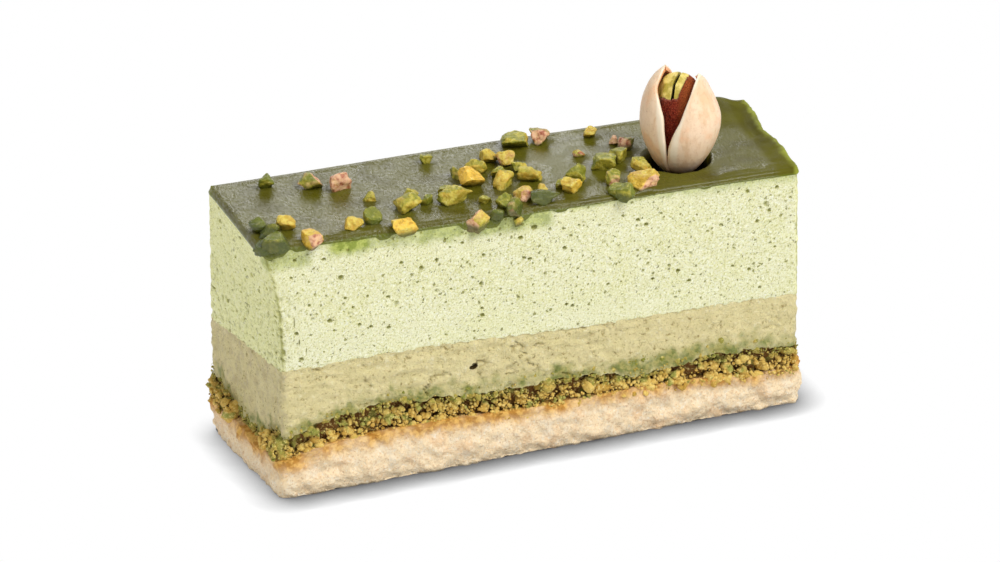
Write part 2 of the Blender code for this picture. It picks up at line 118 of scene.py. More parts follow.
# Chopped nibs on the glaze: place, length, ripeness from green 0 to orange 1, skin, coat of glaze.
NIBS = (
    (-41.5, 8.5, 3.0, 0.05, 0.0, 0.3), (-34.5, 6.0, 4.2, 0.15, 0.4, 0.3), (-30.0, 4.0, 3.8, 0.5, 1.0, 0.0),
    (-26.5, -2.5, 2.2, 0.4, 0.0, 0.1), (-12.5, 9.0, 2.2, 0.2, 0.0, 0.2), (4.4, 10.4, 5.1, 0.3, 0.0, 0.2),
    (9.5, 11.5, 4.2, 0.1, 0.3, 0.3), (18.5, 10.0, 2.6, 0.6, 0.0, 0.0), (-2.0, 6.0, 3.8, 0.55, 0.0, 0.0),
    (0.5, 3.5, 3.8, 0.6, 0.8, 0.0), (-9.5, 1.5, 2.6, 0.2, 0.2, 0.2), (-6.0, 2.5, 3.8, 0.4, 0.0, 0.1),
    (-8.5, -2.5, 4.2, 1.0, 0.0, 0.0), (-2.5, -0.5, 2.4, 0.25, 0.0, 0.3), (-3.0, -4.5, 4.0, 0.45, 0.0, 0.1),
    (1.5, 0.0, 2.8, 0.3, 0.0, 0.2), (2.0, -4.0, 3.9, 0.45, 0.0, 0.1), (-13.5, -4.0, 2.4, 0.25, 0.0, 0.2),
    (-13.0, -8.0, 5.4, 0.3, 0.0, 0.1), (-8.5, -10.5, 2.2, 0.2, 0.0, 0.2), (-6.0, -13.2, 3.2, 0.15, 0.0, 0.4),
    (-1.9, -10.8, 3.3, 0.65, 0.3, 0.0), (1.4, -11.6, 3.2, 0.6, 0.0, 0.0), (9.5, -7.3, 4.0, 0.15, 0.0, 0.2),
    (6.8, -11.0, 3.0, 0.7, 0.0, 0.0), (6.0, -8.4, 2.0, 0.3, 0.0, 0.2), (13.4, 2.4, 1.8, 0.3, 0.5, 0.0),
    (21.3, 5.4, 2.0, 0.5, 1.0, 0.0), (15.9, -3.4, 4.6, 0.2, 0.0, 0.1), (19.6, -1.2, 3.3, 0.2, 0.0, 0.1),
    (22.6, 2.8, 3.4, 0.0, 0.3, 0.6), (21.2, -8.4, 4.6, 0.4, 0.0, 0.0), (19.4, -12.6, 5.0, 0.75, 0.5, 0.0),
    (15.2, -10.2, 3.2, 0.2, 0.5, 0.2), (-19.6, -4.0, 2.6, 0.4, 0.0, 0.1), (-18.0, -7.5, 2.2, 0.15, 0.0, 0.3),
    (-22.0, -8.5, 4.4, 0.3, 0.0, 0.1), (-43.5, -9.5, 3.0, 0.7, 0.0, 0.1), (-48.0, -9.0, 3.0, 0.0, 0.0, 0.8),
    (-46.9, -11.6, 3.6, 0.05, 0.0, 1.0), (1.2, -13.4, 4.6, 0.0, 0.0, 1.0),
    (-33.0, -13.0, 3.0, 0.65, 0.0, 0.1), (-29.5, -11.5, 4.0, 0.1, 0.0, 0.4),
)
# Nibs that hang over the front edge: place along it, drop, length, ripeness, skin, coat of glaze.
EDGE_NIBS = (
    (-46.6, 0.0, 4.6, 0.05, 0.0, 0.9), (-49.0, 0.8, 3.2, 0.0, 0.0, 1.0), (-40.6, 0.2, 4.0, 0.85, 0.15, 0.1),
    (-24.4, 0.3, 4.6, 0.8, 0.0, 0.1), (-11.0, 1.8, 4.0, 0.45, 0.2, 0.5), (-8.0, 0.6, 2.6, 0.0, 0.0, 1.0),
    (-4.8, 0.4, 4.6, 0.1, 0.5, 0.8), (-4.2, 2.3, 1.9, 0.35, 0.0, 0.5), (14.8, 0.3, 4.6, 0.1, 0.0, 0.6),
)
# Tongues of glaze on the front face: place along it, length and width.
DRIPS = ((-46.8, 1.2, 4.6), (-42.6, 0.7, 3.2), (-28.0, 0.7, 2.8), (-13.0, 1.1, 3.4), (-8.8, 1.5, 3.8),
         (-3.5, 1.1, 3.4), (3.6, 0.6, 2.8), (30.2, 0.35, 2.2))
# Lumps of crumbs at the left corners: middle, reach and the way that they face.
CLUMPS = ((-48.2, -12.0, 8.8, 1.5, (-1.0, 0.0)), (-47.8, -14.8, 8.2, 1.4, (-0.7, -0.7)),
          (-50.9, 11.5, 7.0, 1.4, (-1.0, 0.0)), (-50.7, 8.0, 7.6, 1.6, (-1.0, 0.0)),
          (-50.4, 4.5, 7.4, 1.3, (-1.0, 0.0)))
# Green stains of the mousse under the glaze on the front: from, to, depth, strength.
STAINS = ((-52.0, -41.0, 3.6, 0.6), (-37.6, -30.3, 2.7, 1.0), (-30.7, -22.0, 2.4, 0.6),
          (-22.2, -13.6, 2.8, 0.75), (-13.9, 2.0, 2.9, 0.75), (26.0, 50.0, 1.2, 0.45))
# The larger bubbles cut open on the front face: place along it, height and radius.
FRONT_BUBBLES = ((-45.6, 40.2, 0.34), (-43.4, 40.4, 0.3), (-39.9, 31.4, 0.5), (-39.2, 29.5, 0.34),
                 (-46.0, 30.0, 0.45), (-32.8, 34.8, 0.34), (-36.8, 35.1, 0.36), (-43.3, 34.8, 0.36),
                 (-42.2, 33.0, 0.3), (-35.6, 33.2, 0.34), (-29.3, 28.5, 0.42), (-19.5, 39.5, 0.42),
                 (-11.0, 39.1, 0.4), (-3.6, 37.4, 0.36), (-1.0, 42.7, 0.6), (5.4, 40.2, 0.36),
                 (11.9, 30.0, 0.4), (3.9, 27.5, 0.36), (18.2, 41.2, 0.45), (19.6, 40.1, 0.48),
                 (22.6, 41.8, 0.34), (19.9, 35.0, 0.4), (25.3, 30.5, 0.5), (20.4, 29.7, 0.4),
                 (24.8, 25.5, 0.34), (39.2, 28.6, 0.42), (36.0, 29.7, 0.36), (44.8, 43.4, 0.45),
                 (31.2, 37.1, 0.34), (44.3, 32.1, 0.34))
# Wide shallow dents of the same kind.
FRONT_DENTS = ((-27.7, 32.6, 0.85), (-20.3, 33.8, 0.7), (42.6, 40.6, 0.8), (27.8, 33.4, 0.6),
               (-36.4, 32.2, 0.5), (-43.0, 32.2, 0.6))
# Slits torn near the lower front left corner: side 0 front or 3 left, place along it, height, length.
SLITS = ((0, -46.3, 32.2, 2.4), (0, -45.6, 28.4, 1.2), (0, -45.9, 34.6, 1.0), (0, -44.4, 26.6, 1.2),
         (3, -14.0, 33.0, 1.4), (3, -13.4, 27.4, 1.6), (3, -12.2, 29.0, 1.0), (3, -10.6, 26.4, 1.4),
         (3, -9.2, 34.2, 1.0), (3, -6.8, 26.6, 1.2), (3, -3.5, 24.6, 1.6), (3, 1.1, 31.3, 1.0),
         (3, 5.3, 26.0, 1.2), (3, 8.2, 25.0, 1.0), (3, 11.3, 25.4, 1.2), (3, -14.2, 24.8, 1.2))

CAMERA_AZIMUTH = -20.0
CAMERA_ELEVATION = 25.5
CAMERA_DISTANCE = 614.0
CAMERA_TARGET = (-2.0, 0.0, 26.0)
CAMERA_LENS = 126.0
CAMERA_SENSOR = 36.0


def rgb(red, green, blue):
    """A colour from 0 to 255 as the linear values that Blender's sockets hold."""
    shares = [c / 255 for c in (red, green, blue)]
    return tuple(c / 12.92 if c <= 0.04045 else ((c + 0.055) / 1.055) ** 2.4 for c in shares)


def color_setting(name, description, color):
    return bpy.props.FloatVectorProperty(name=name, description=description, subtype="COLOR",
                                         size=3, min=0.0, max=1.0, default=color)


class CakeShapeSettings(bpy.types.PropertyGroup):
    """Sizes and counts of the fine detail."""
    cell: bpy.props.FloatProperty(
        name="Grid", description="Spacing of the fine grid that the layers are cut into",
        default=0.45 * MM, min=0.2 * MM, unit="LENGTH")
    bubbles: bpy.props.IntProperty(
        name="Bubbles", description="Bubbles cut open over the four sides of the mousse",
        default=560, min=0)
    large_crumbs: bpy.props.IntProperty(
        name="Large crumbs", description="Crumbs over 1 mm round the green band", default=1000, min=0)
    small_crumbs: bpy.props.IntProperty(
        name="Small crumbs", description="Crumbs under 1 mm round the green band", default=5400, min=0)


class CakeColorSettings(bpy.types.PropertyGroup):
    """The main colours of the cake."""
    biscuit: color_setting("Biscuit", "Pale baked biscuit", rgb(255, 230, 188))
    cream: color_setting("Cream", "Dense khaki cream", rgb(240, 226, 168))
    mousse: color_setting("Mousse", "Airy pale green mousse", rgb(240, 239, 198))
    glaze: color_setting("Glaze", "Dark green glaze seen straight on", rgb(94, 91, 22))
    crumb: color_setting("Crumbs", "Green biscuit crumbs", rgb(244, 208, 108))
    shell: color_setting("Shell", "Ivory nut shell", rgb(246, 216, 182))
    skin: color_setting("Skin", "Maroon skin of the nut", rgb(124, 28, 8))


def smooth_step(low, high, value):
    share = min(max((value - low) / (high - low), 0.0), 1.0)
    return share * share * (3 - 2 * share)


def grain(place, size, shift=0.0, octaves=3):
    """Uneven lumps of about a given size, from about -1 to 1."""
    return noise.fractal(Vector(place) / size + Vector((shift, shift, shift)), 1.0, 2.0, octaves)


def corners_at(table, z):
    """The four corners at a height, in straight lines between the table's rows."""
    heights = sorted(table)
    z = min(max(z, heights[0]), heights[-1])
    upper = next(height for height in heights if height >= z)
    lower = max(height for height in heights if height <= z)
    share = 0.0 if upper == lower else (z - lower) / (upper - lower)
    return [Vector(a).lerp(Vector(b), share) for a, b in zip(table[lower], table[upper])]


def plan_point(corners, u, v, z):
    """A place in plan at shares u of the length and v of the depth."""
    front_left, front_right, back_right, back_left = corners_at(corners, z)
    return front_left.lerp(front_right, u).lerp(back_left.lerp(back_right, u), v)


def side_at(x, v, z=GLAZE_TOP):
    """Where the front (v 0) or the back (v 1) lies at a place along the block."""
    return plan_point(BLOCK_CORNERS, (x + LENGTH / 2) / LENGTH, v, z).y


def end_at(y, u, z=GLAZE_TOP):
    """Where the left end (u 0) or the right end (u 1) lies at a place across the block."""
    return plan_point(BLOCK_CORNERS, u, (y + DEPTH / 2) / DEPTH, z).x


# The heights of the layers' tops at a place in plan.
def base_top(x, y):
    left = (2.4 + 0.025 * (y + 15)) * smooth_step(-38, -50, x)
    right = 1.2 * smooth_step(0, 50, x)
    return BASE_TOP - left - right + 0.35 * math.sin(x / 7.1 + y / 9.0)


def crumb_top(x, y):
    smeared = smooth_step(-42, -49, x) * (1 - smooth_step(3, 12, abs(y + 1)))
    wave = 0.45 * math.sin(x / 5.3 + 1.0) + 0.3 * math.sin(x / 11.0 + y / 6.0)
    return base_top(x, y) + CRUMB_BAND + wave - 3.1 * smeared


def crumb_spread(x, y):
    """How far the crumbs and their stain reach up the cream."""
    patchy = smooth_step(-0.2, 0.3, grain((x, y, 0.0), 5.0, 12.0))
    return 2.6 + 1.6 * patchy + 0.6 * smooth_step(8.0, 22.0, x)


def cream_top(x, y):
    slope = 0.03 + 0.08 * smooth_step(20, -50, x)
    wave = 0.3 * math.sin(x / 9.0 + y / 8.0)
    return CREAM_TOP - slope * (y + DEPTH / 2) - 1.1 * smooth_step(-15, 35, x) + wave


def mousse_top(x, y):
    return MOUSSE_TOP + 0.15 * math.sin(x / 15.0)


def glaze_top(x, y):
    across = (y + DEPTH / 2) / DEPTH
    from_right = end_at(y, 1.0) - x
    lip = GLAZE_LIP * smooth_step(3.0, 0.0, from_right) * smooth_step(-0.05, 0.4, across)
    lip *= 1 - 0.5 * smooth_step(0.75, 1.0, across)
    swell = BACK_SWELL * smooth_step(18.0, 8.0, from_right) * smooth_step(0.65, 1.0, across)
    swell *= 1 - 0.9 * smooth_step(6.0, 0.0, from_right)
    return GLAZE_TOP + 0.12 * math.sin(x / 13.0 + y / 7.0) + lip + swell


def pit_share(x, y):
    """1 at the rim of the hollow that the nut was pressed into, and less inside."""
    return math.hypot((x - PIT_CENTRE[0]) / PIT_RADII[0], (y - PIT_CENTRE[1]) / PIT_RADII[1])


def deselect_all():
    for other in bpy.context.selected_objects:
        other.select_set(False)


def make_active(piece):
    deselect_all()
    piece.select_set(True)
    bpy.context.view_layer.objects.active = piece


def add_shape(kind, **settings):
    """A new mesh of one of Blender's basic kinds, as the one selected object."""
    deselect_all()
    getattr(bpy.ops.mesh, f"primitive_{kind}_add")(**settings)
    return bpy.context.object


def stretch(piece, scale):
    """Scales a shape where it stands and takes its place and scale into the mesh."""
    piece.scale = scale
    bpy.ops.object.transform_apply(location=True, scale=True)
    return piece


def apply_modifier(piece, name, kind, **settings):
    """Adds one modifier and applies it."""
    make_active(piece)
    modifier = piece.modifiers.new(name, kind)
    for key, value in settings.items():
        setattr(modifier, key, value)
    bpy.ops.object.modifier_apply(modifier=modifier.name)
    return piece


def edit_selected(piece, kind, chosen, operator, **settings):
    """Runs a mesh operator on the chosen vertices (kind VERT) or edges (kind EDGE) of the active piece."""
    bpy.ops.object.mode_set(mode="EDIT")
    bpy.ops.mesh.select_mode(type=kind)
    bpy.ops.mesh.select_all(action="DESELECT")
    bpy.ops.object.mode_set(mode="OBJECT")
    parts = piece.data.vertices if kind == "VERT" else piece.data.edges
    parts.foreach_set("select", chosen)
    bpy.ops.object.mode_set(mode="EDIT")
    operator(**settings)
    bpy.ops.object.mode_set(mode="OBJECT")


def cut_along(piece, axis, count):
    """Cuts every edge that runs along an axis into that many, of which a hundred is the most."""
    mesh = piece.data
    ends = np.empty(2 * len(mesh.edges), int)
    mesh.edges.foreach_get("vertices", ends)
    places = np.empty(3 * len(mesh.vertices))
    mesh.vertices.foreach_get("co", places)
    starts, stops = places.reshape(-1, 3)[ends.reshape(-1, 2), axis].T
    edit_selected(piece, "EDGE", np.abs(starts - stops) > TINY, bpy.ops.mesh.subdivide,
                  number_cuts=count - 1)


def grid_block(name, cells):
    """A cube from 0 to 1 each way, cut in two steps into at least that many cells along x, y and z."""
    piece = stretch(add_shape("cube", size=1, location=(0.5, 0.5, 0.5)), (1.0, 1.0, 1.0))
    piece.name = name
    for axis, count in enumerate(cells):
        for parts in (math.ceil(count / 4), 4):
            cut_along(piece, axis, parts)
    return piece


def layer_cells(height):
    """Cells along x, y and z for a layer of that height, at the set spacing."""
    cell = bpy.context.scene.cake_shape.cell / MM
    return [round(size / cell) for size in (LENGTH, DEPTH, height)]


def round_corner(share, other_share, radius, other_radius):
    """Moves a place in a corner's square onto the corner's round, as a square bends to a disc."""
    def inwards(value, reach):
        return max(reach - value, value - (1 - reach), 0.0) / reach

    here, there = inwards(share, radius), inwards(other_share, other_radius)
    if not here or not there:
        return share
    bent = here * math.sqrt(1 - there * there / 2)
    return radius * (1 - bent) if share < 0.5 else 1 - radius * (1 - bent)


def lay_layer(piece, corners, low, high, radius=0.9):
    """Brings a grid block to its layer's place, and gives each vertex with its way out.

    The way out is a level direction at the sides and nothing inside the top and the bottom. The
    third value is the vertex's share of the layer's height.
    """
    reach_u, reach_v = radius / LENGTH, radius / DEPTH
    for vert in piece.data.vertices:
        u, v, w = vert.co
        bent_u = round_corner(u, v, reach_u, reach_v)
        bent_v = round_corner(v, u, reach_v, reach_u)
        place = plan_point(corners, bent_u, bent_v, CREAM_TOP)
        for _ in range(2):
            z = low(*place) + w * (high(*place) - low(*place))
            place = plan_point(corners, bent_u, bent_v, z)
        out = Vector((0.0, 0.0, 0.0))
        if min(u, 1 - u) < TINY or min(v, 1 - v) < TINY:
            out.x = math.copysign(smooth_step(2 * reach_u, 0.0, min(u, 1 - u)), u - 0.5)
            out.y = math.copysign(smooth_step(2 * reach_v, 0.0, min(v, 1 - v)), v - 0.5)
            out.normalize()
        vert.co = (place.x, place.y, z)
        yield vert, out, w


def set_marks(piece, **marks):
    """Stores numbers under their names, one for each vertex, which the finish reads."""
    for name, values in marks.items():
        attribute = piece.data.attributes.new(name, "FLOAT", "POINT")
        attribute.data.foreach_set("value", np.asarray(values, dtype=np.float32))


def finish_piece(piece, material, smooth=None, nodes=()):
    """Turns a piece in millimetres into a finished one in metres that rides on the cake."""
    piece.data.transform(Matrix.Scale(MM, 4))
    piece.data.materials.clear()
    piece.data.materials.append(material)
    make_active(piece)
    if smooth is None:
        bpy.ops.object.shade_smooth()
    else:
        bpy.ops.object.shade_smooth_by_angle(angle=math.radians(smooth))
    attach(piece, "root")
    if nodes:
        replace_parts(piece, *nodes)
    return piece


def cut_away(piece, cutter):
    """Takes a cutter's shape out of a piece, and removes the cutter."""
    apply_modifier(piece, "Cut", "BOOLEAN", operation="DIFFERENCE", object=cutter, solver="MANIFOLD")
    bpy.data.objects.remove(cutter)


def small_shape(subdivisions):
    """The places and faces of a small ball, the start of every crumb, nib and bubble."""
    ball = add_shape("ico_sphere", subdivisions=subdivisions, radius=1.0)
    places = np.array([vert.co for vert in ball.data.vertices])
    faces = np.array([face.vertices[:] for face in ball.data.polygons])
    bpy.data.objects.remove(ball)
    return places, faces


def joined_mesh(name, shapes, faces):
    """One object of many shapes, given by their points, that share one pattern of faces."""
    count = len(shapes[0])
    mesh = bpy.data.meshes.new(name)
    all_faces = np.concatenate([faces + count * step for step in range(len(shapes))])
    mesh.from_pydata(np.concatenate(shapes).tolist(), [], all_faces.tolist())
    piece = bpy.data.objects.new(name, mesh)
    bpy.context.scene.collection.objects.link(piece)
    return piece


def rounded(points, faces, passes):
    """The points of a closed mesh of triangles, drawn to their neighbours to take its edges off."""
    for _ in range(passes):
        total, count = np.zeros_like(points), np.zeros((len(points), 1))
        for corner in range(3):
            here, beside = faces[:, corner], faces[:, (corner + 1) % 3]
            np.add.at(total, here, points[beside])
            np.add.at(count, here, 1)
        points = total / count
    return points


def random_turn(rng):
    """A rotation to any direction, as a 3 by 3 matrix."""
    axis = Vector([rng.gauss(0, 1) for _ in range(3)]).normalized()
    return np.array(Matrix.Rotation(rng.uniform(0, math.tau), 3, axis))


def feed(tree, socket, value):
    """Gives a socket its value, or a link where the value is the output of a node."""
    if isinstance(value, bpy.types.NodeSocket):
        tree.links.new(value, socket)
    elif socket.type == "RGBA" and len(value) == 3:
        socket.default_value = (*value, 1.0)
    else:
        socket.default_value = value


def add_node(tree, kind, inputs, **settings):
    """A new shader node with its settings made and its inputs fed, by name or by number."""
    made = tree.nodes.new("ShaderNode" + kind)
    for name, value in settings.items():
        setattr(made, name, value)
    for name, value in inputs.items():
        feed(tree, made.inputs[name], value)
    return made


class Finish:
    """A material whose patterns read Object coordinates, taken in millimetres."""

    def __init__(self, name):
        self.material = bpy.data.materials.new(name)
        self.material.use_nodes = True
        self.tree = self.material.node_tree
        self.shader = self.tree.nodes["Principled BSDF"]
        metres = self.node("TexCoord", {}).outputs["Object"]
        self.place = self.scaled((1 / MM, 1 / MM, 1 / MM), metres)

    def node(self, kind, inputs, **settings):
        return add_node(self.tree, kind, inputs, **settings)

    def scaled(self, scale, place=None, turn=0.0):
        """The place scaled along its axes: a pattern is drawn out along those with a small scale."""
        return self.node("Mapping", {"Vector": place or self.place, "Scale": scale,
                                     "Rotation": (0.0, 0.0, turn)}).outputs[0]

    def shaken(self, pattern, amount):
        """The place moved by a pattern, which gives what is laid out there uneven outlines."""
        moved = self.times(pattern, amount)
        return self.node("VectorMath", {0: self.place, 1: moved}, operation="ADD").outputs[0]

    def noise(self, size, detail=3.0, roughness=0.5, place=None):
        return self.node("TexNoise", {"Vector": place or self.place, "Scale": 1 / size,
                                      "Detail": detail, "Roughness": roughness}).outputs[0]

    def cells(self, size, place=None, feature="F1"):
        made = self.node("TexVoronoi", {"Vector": place or self.place, "Scale": 1 / size}, feature=feature)
        return made.outputs["Distance"]

    def holes(self, spacing, largest, place):
        """Round specks of mixed sizes, up to a share of their spacing across."""
        made = self.node("TexVoronoi", {"Vector": place, "Scale": 1 / spacing})
        own = self.node("SeparateColor", {"Color": made.outputs["Color"]}).outputs[0]
        radius = self.times(self.math("POWER", own, 2.0), largest / 2)
        return self.between(self.math("SUBTRACT", made.outputs["Distance"], radius), 0.03, -0.05)

    def open_sky(self, reach):
        """How open a place is, 0 deep in a crevice and 1 in the open, over a reach in millimetres."""
        return self.node("AmbientOcclusion", {"Distance": reach * MM}).outputs["AO"]

    def marks(self, name):
        """The numbers that were stored for the vertices."""
        return self.node("Attribute", {}, attribute_name=name).outputs["Fac"]

    def between(self, value, low, high, start=0.0, end=1.0):
        """A smooth rise from start to end as the value goes from low to high."""
        return self.node("MapRange", {"Value": value, "From Min": low, "From Max": high,
                                      "To Min": start, "To Max": end},
                         interpolation_type="SMOOTHSTEP").outputs["Result"]

    def math(self, operation, first, second):
        return self.node("Math", {0: first, 1: second}, operation=operation).outputs[0]

    def times(self, first, second):
        return self.math("MULTIPLY", first, second)

    def mix(self, share, under, over):
        """A colour between two, the second where the share is 1."""
        return self.node("Mix", {"Factor": share, 6: under, 7: over}, data_type="RGBA").outputs[2]

    def marked(self, name, under, over):
        """A colour over another where the vertices are marked."""
        return self.mix(self.marks(name), under, over)

    def lay(self, under, over, pattern, low, high, most=1.0):
        """A colour over another as a pattern goes from low to high, up to a share."""
        return self.mix(self.between(pattern, low, high, 0.0, most), under, over)

    def bump(self, height, depth, below=None):
        """Relief of a depth in millimetres, on top of another relief."""
        inputs = {"Height": height, "Distance": depth * MM, "Strength": 1.0}
        if below:
            inputs["Normal"] = below
        return self.node("Bump", inputs).outputs["Normal"]

    def soften(self, weight, radius):
        """Lets some light through, with a reach in millimetres for red, green and blue."""
        for name, value in (("Weight", weight), ("Radius", radius), ("Scale", MM)):
            feed(self.tree, self.shader.inputs["Subsurface " + name], value)

    def done(self, color, relief, roughness, others=None):
        """Feeds the shader, with other inputs by their names, and gives the material."""
        inputs = {"Base Color": color, "Normal": relief, "Roughness": roughness, **(others or {})}
        for name, value in inputs.items():
            feed(self.tree, self.shader.inputs[name], value)
        return self.material


def biscuit_finish(color):
    """Pale short biscuit with whitish raised patches, golden hollows and a syrupy top edge."""
    finish = Finish("biscuit")
    sand = finish.noise(0.42, 4.0, 0.7)
    golden = finish.lay(color, rgb(244, 208, 162), finish.noise(4.0), 0.48, 0.66, 0.8)
    pale = finish.lay(golden, rgb(255, 240, 212), finish.noise(1.7, 5.0, 0.65), 0.5, 0.62, 0.55)
    speckled = finish.lay(pale, rgb(222, 180, 136), sand, 0.53, 0.66, 0.8)
    glints = finish.lay(speckled, rgb(255, 248, 234), sand, 0.45, 0.33, 0.7)
    syrup = finish.lay(rgb(198, 138, 48), rgb(240, 188, 94), finish.noise(1.1), 0.42, 0.6)
    soaked = finish.marked("soaked", glints, syrup)
    return finish.done(soaked, finish.bump(finish.cells(0.8), -0.14, finish.bump(sand, 0.3)), 0.75)


def crumb_finish(name, color):
    """Crumbs from yellowish to dark olive, each with its own tint and a sandy grain, with painted highlight
    and painted shade on the grain and painted shade in the crevices.
    """
    finish = Finish(name)
    sand = finish.noise(0.5, 4.0, 0.7)
    tinted = finish.marked("tint", color, rgb(196, 150, 50))
    green = finish.lay(tinted, rgb(166, 164, 74), finish.noise(2.6, 2.0), 0.54, 0.66)
    moss = finish.lay(rgb(132, 140, 48), rgb(190, 168, 74), finish.noise(1.4), 0.46, 0.66)
    coated = finish.marked("coat", green, moss)
    # Painted highlight on the sand grain's raised bits, and painted shade in its low bits.
    light = finish.lay(coated, rgb(252, 230, 148), sand, 0.52, 0.66, 0.8)
    dark = finish.lay(light, rgb(140, 106, 34), sand, 0.44, 0.32, 0.6)
    # Painted shade: dark brown where the open sky is small, in the crevices between crumbs.
    crevice_shade = finish.lay(rgb(84, 46, 8), dark, finish.open_sky(1.6), 0.08, 0.34)
    return finish.done(crevice_shade, finish.bump(sand, 0.4), 0.8)


def cream_finish(color):
    """Dense cream, a little green where the crumbs stained it, with short smears and scratches, painted shade
    in the smears' hollows and painted highlight on their ridges, and painted shade in its large bubble.
    """
    finish = Finish("cream")
    finish.soften(0.1, (0.5, 0.4, 0.2))
    grains, smears = finish.noise(0.4, 4.0, 0.7), finish.noise(0.9, 6.0, 0.7)
    mottled = finish.lay(color, rgb(232, 218, 158), finish.noise(4.0), 0.35, 0.7)
    # Painted shade where the smears pattern is low, in the hollows of the relief, and painted highlight where
    # it is high, on its ridges.
    hollows = finish.lay(mottled, rgb(164, 142, 78), smears, 0.45, 0.32, 0.9)
    lit_ridges = finish.lay(hollows, rgb(250, 240, 196), smears, 0.56, 0.66, 0.8)
    blots = finish.between(finish.noise(1.8, 5.0, 0.7), 0.46, 0.64, 0.0, 0.5)
    blotted = finish.mix(finish.times(finish.marks("end"), blots), lit_ridges, rgb(196, 176, 132))
    speckled = finish.lay(blotted, rgb(176, 156, 92), grains, 0.55, 0.72, 0.6)
    stain = finish.lay(rgb(126, 136, 56), rgb(178, 170, 92), finish.noise(1.0, 4.0), 0.4, 0.6)
    stained = finish.marked("stain", speckled, stain)
    # Painted shade: the wall of the large bubble is coloured dark brown.
    hole = finish.marked("hollow", stained, rgb(84, 66, 20))
    rough = finish.bump(smears, 0.6, finish.bump(finish.noise(2.2), 0.8))
    return finish.done(hole, finish.bump(grains, 0.24, rough), 0.55)


def mousse_finish(color):
    """Airy mousse: pale, full of pin-holes, and stained green just under the glaze; the pin-holes and cut
    bubbles are painted olive as their shade, and lit and shaded copies are painted over the foam.
    """
    finish = Finish("mousse")
    finish.soften(0.12, (0.4, 0.35, 0.2))
    drawn = finish.scaled((1.0, 0.45, 1.0), finish.shaken(finish.noise(0.45, 3.0, 0.6), 0.7))
    patchy = finish.between(finish.noise(5.0, 2.0), 0.35, 0.62, 0.4, 1.0)
    small = finish.times(finish.holes(0.5, 0.55, drawn), patchy)
    pores = finish.math("MAXIMUM", small, finish.holes(1.0, 0.55, drawn))
    pores = finish.times(pores, finish.marks("porous"))
    foam, sponge = finish.noise(0.3, 3.0, 0.65, drawn), finish.noise(0.6, 5.0, 0.75, drawn)
    mottled = finish.lay(color, rgb(236, 235, 186), finish.noise(7.0), 0.3, 0.7)
    # Lit and shaded copies painted over the foam: painted shade where the foam pattern is high, painted
    # highlight where it is low.
    shaded = finish.lay(mottled, rgb(192, 190, 112), foam, 0.52, 0.68, 0.95)
    sides = finish.lay(shaded, rgb(254, 255, 232), foam, 0.48, 0.34, 0.85)
    end = finish.marks("end")
    # On the ends: a yellower tint, painted shade where the sponge pattern is high and painted highlight where
    # it is low.
    hollows = finish.between(sponge, 0.52, 0.68, 0.0, 0.6)
    lit_ridges = finish.between(sponge, 0.47, 0.36, 0.0, 0.6)
    for share, tint in ((0.5, rgb(250, 250, 162)), (hollows, rgb(176, 176, 98)),
                        (lit_ridges, rgb(250, 250, 216))):
        sides = finish.mix(finish.times(end, share), sides, tint)
    green = finish.lay(rgb(146, 160, 58), rgb(186, 196, 96), finish.noise(0.9, 4.0), 0.42, 0.6)
    stained = finish.marked("stain", sides, green)
    # Painted shade: the pin-holes are coloured dark olive, less on the ends.
    seen = finish.times(pores, finish.between(end, 0.0, 1.0, 0.85, 0.45))
    pores_shaded = finish.mix(seen, stained, rgb(144, 142, 58))
    # Painted shade: the insides of the cut bubbles are coloured olive.
    bubbles = finish.marked("hollow", pores_shaded, rgb(150, 150, 66))
    return finish.done(bubbles, finish.bump(pores, -0.2, finish.bump(foam, 0.26)), 0.6)


def glaze_finish(color):
    """Set glaze: dark green and glossy, yellow-green where it is thin, with a leathery grain, and painted
    nearly black in the nut's pit as its shade.
    """
    finish = Finish("glaze")
    pit, dry, grainy = (finish.marks(name) for name in ("pit", "dry", "grainy"))
    deep = finish.lay(color, rgb(82, 78, 14), finish.noise(5.0), 0.4, 0.7)
    side = finish.marked("side", deep, rgb(96, 102, 24))
    thin = finish.marked("thin", side, rgb(150, 156, 58))
    # Painted shade: the pit round the nut's foot is coloured nearly black.
    hollow = finish.mix(pit, thin, rgb(8, 5, 1))
    dull = finish.between(finish.noise(3.0, 4.0), 0.35, 0.65, 0.22, 0.34)
    dull = finish.math("ADD", dull, finish.times(finish.math("MAXIMUM", pit, dry), 0.3))
    dull = finish.math("SUBTRACT", dull, finish.times(finish.marks("rim"), 0.1))
    leather = finish.noise(0.42, 3.0, 0.6, finish.scaled((1.0, 0.45, 1.0), turn=math.radians(35)))
    dimmed = finish.times(finish.between(dry, 0.0, 1.0, 0.5, 0.12), finish.between(pit, 0.0, 1.0, 1.0, 0.1))
    uneven = finish.times(grainy, finish.between(leather, 0.38, 0.56, -0.65, 0.25))
    level = finish.math("ADD", uneven, finish.between(grainy, 0.0, 0.7, 0.55, 1.0))
    fine = finish.bump(finish.times(leather, finish.between(grainy, 0.0, 1.0, 0.4, 1.0)), 0.22)
    return finish.done(hollow, finish.bump(finish.noise(4.0, 2.0), 0.12, fine), dull,
                       {"IOR": 1.45, "Specular IOR Level": finish.times(dimmed, level)})


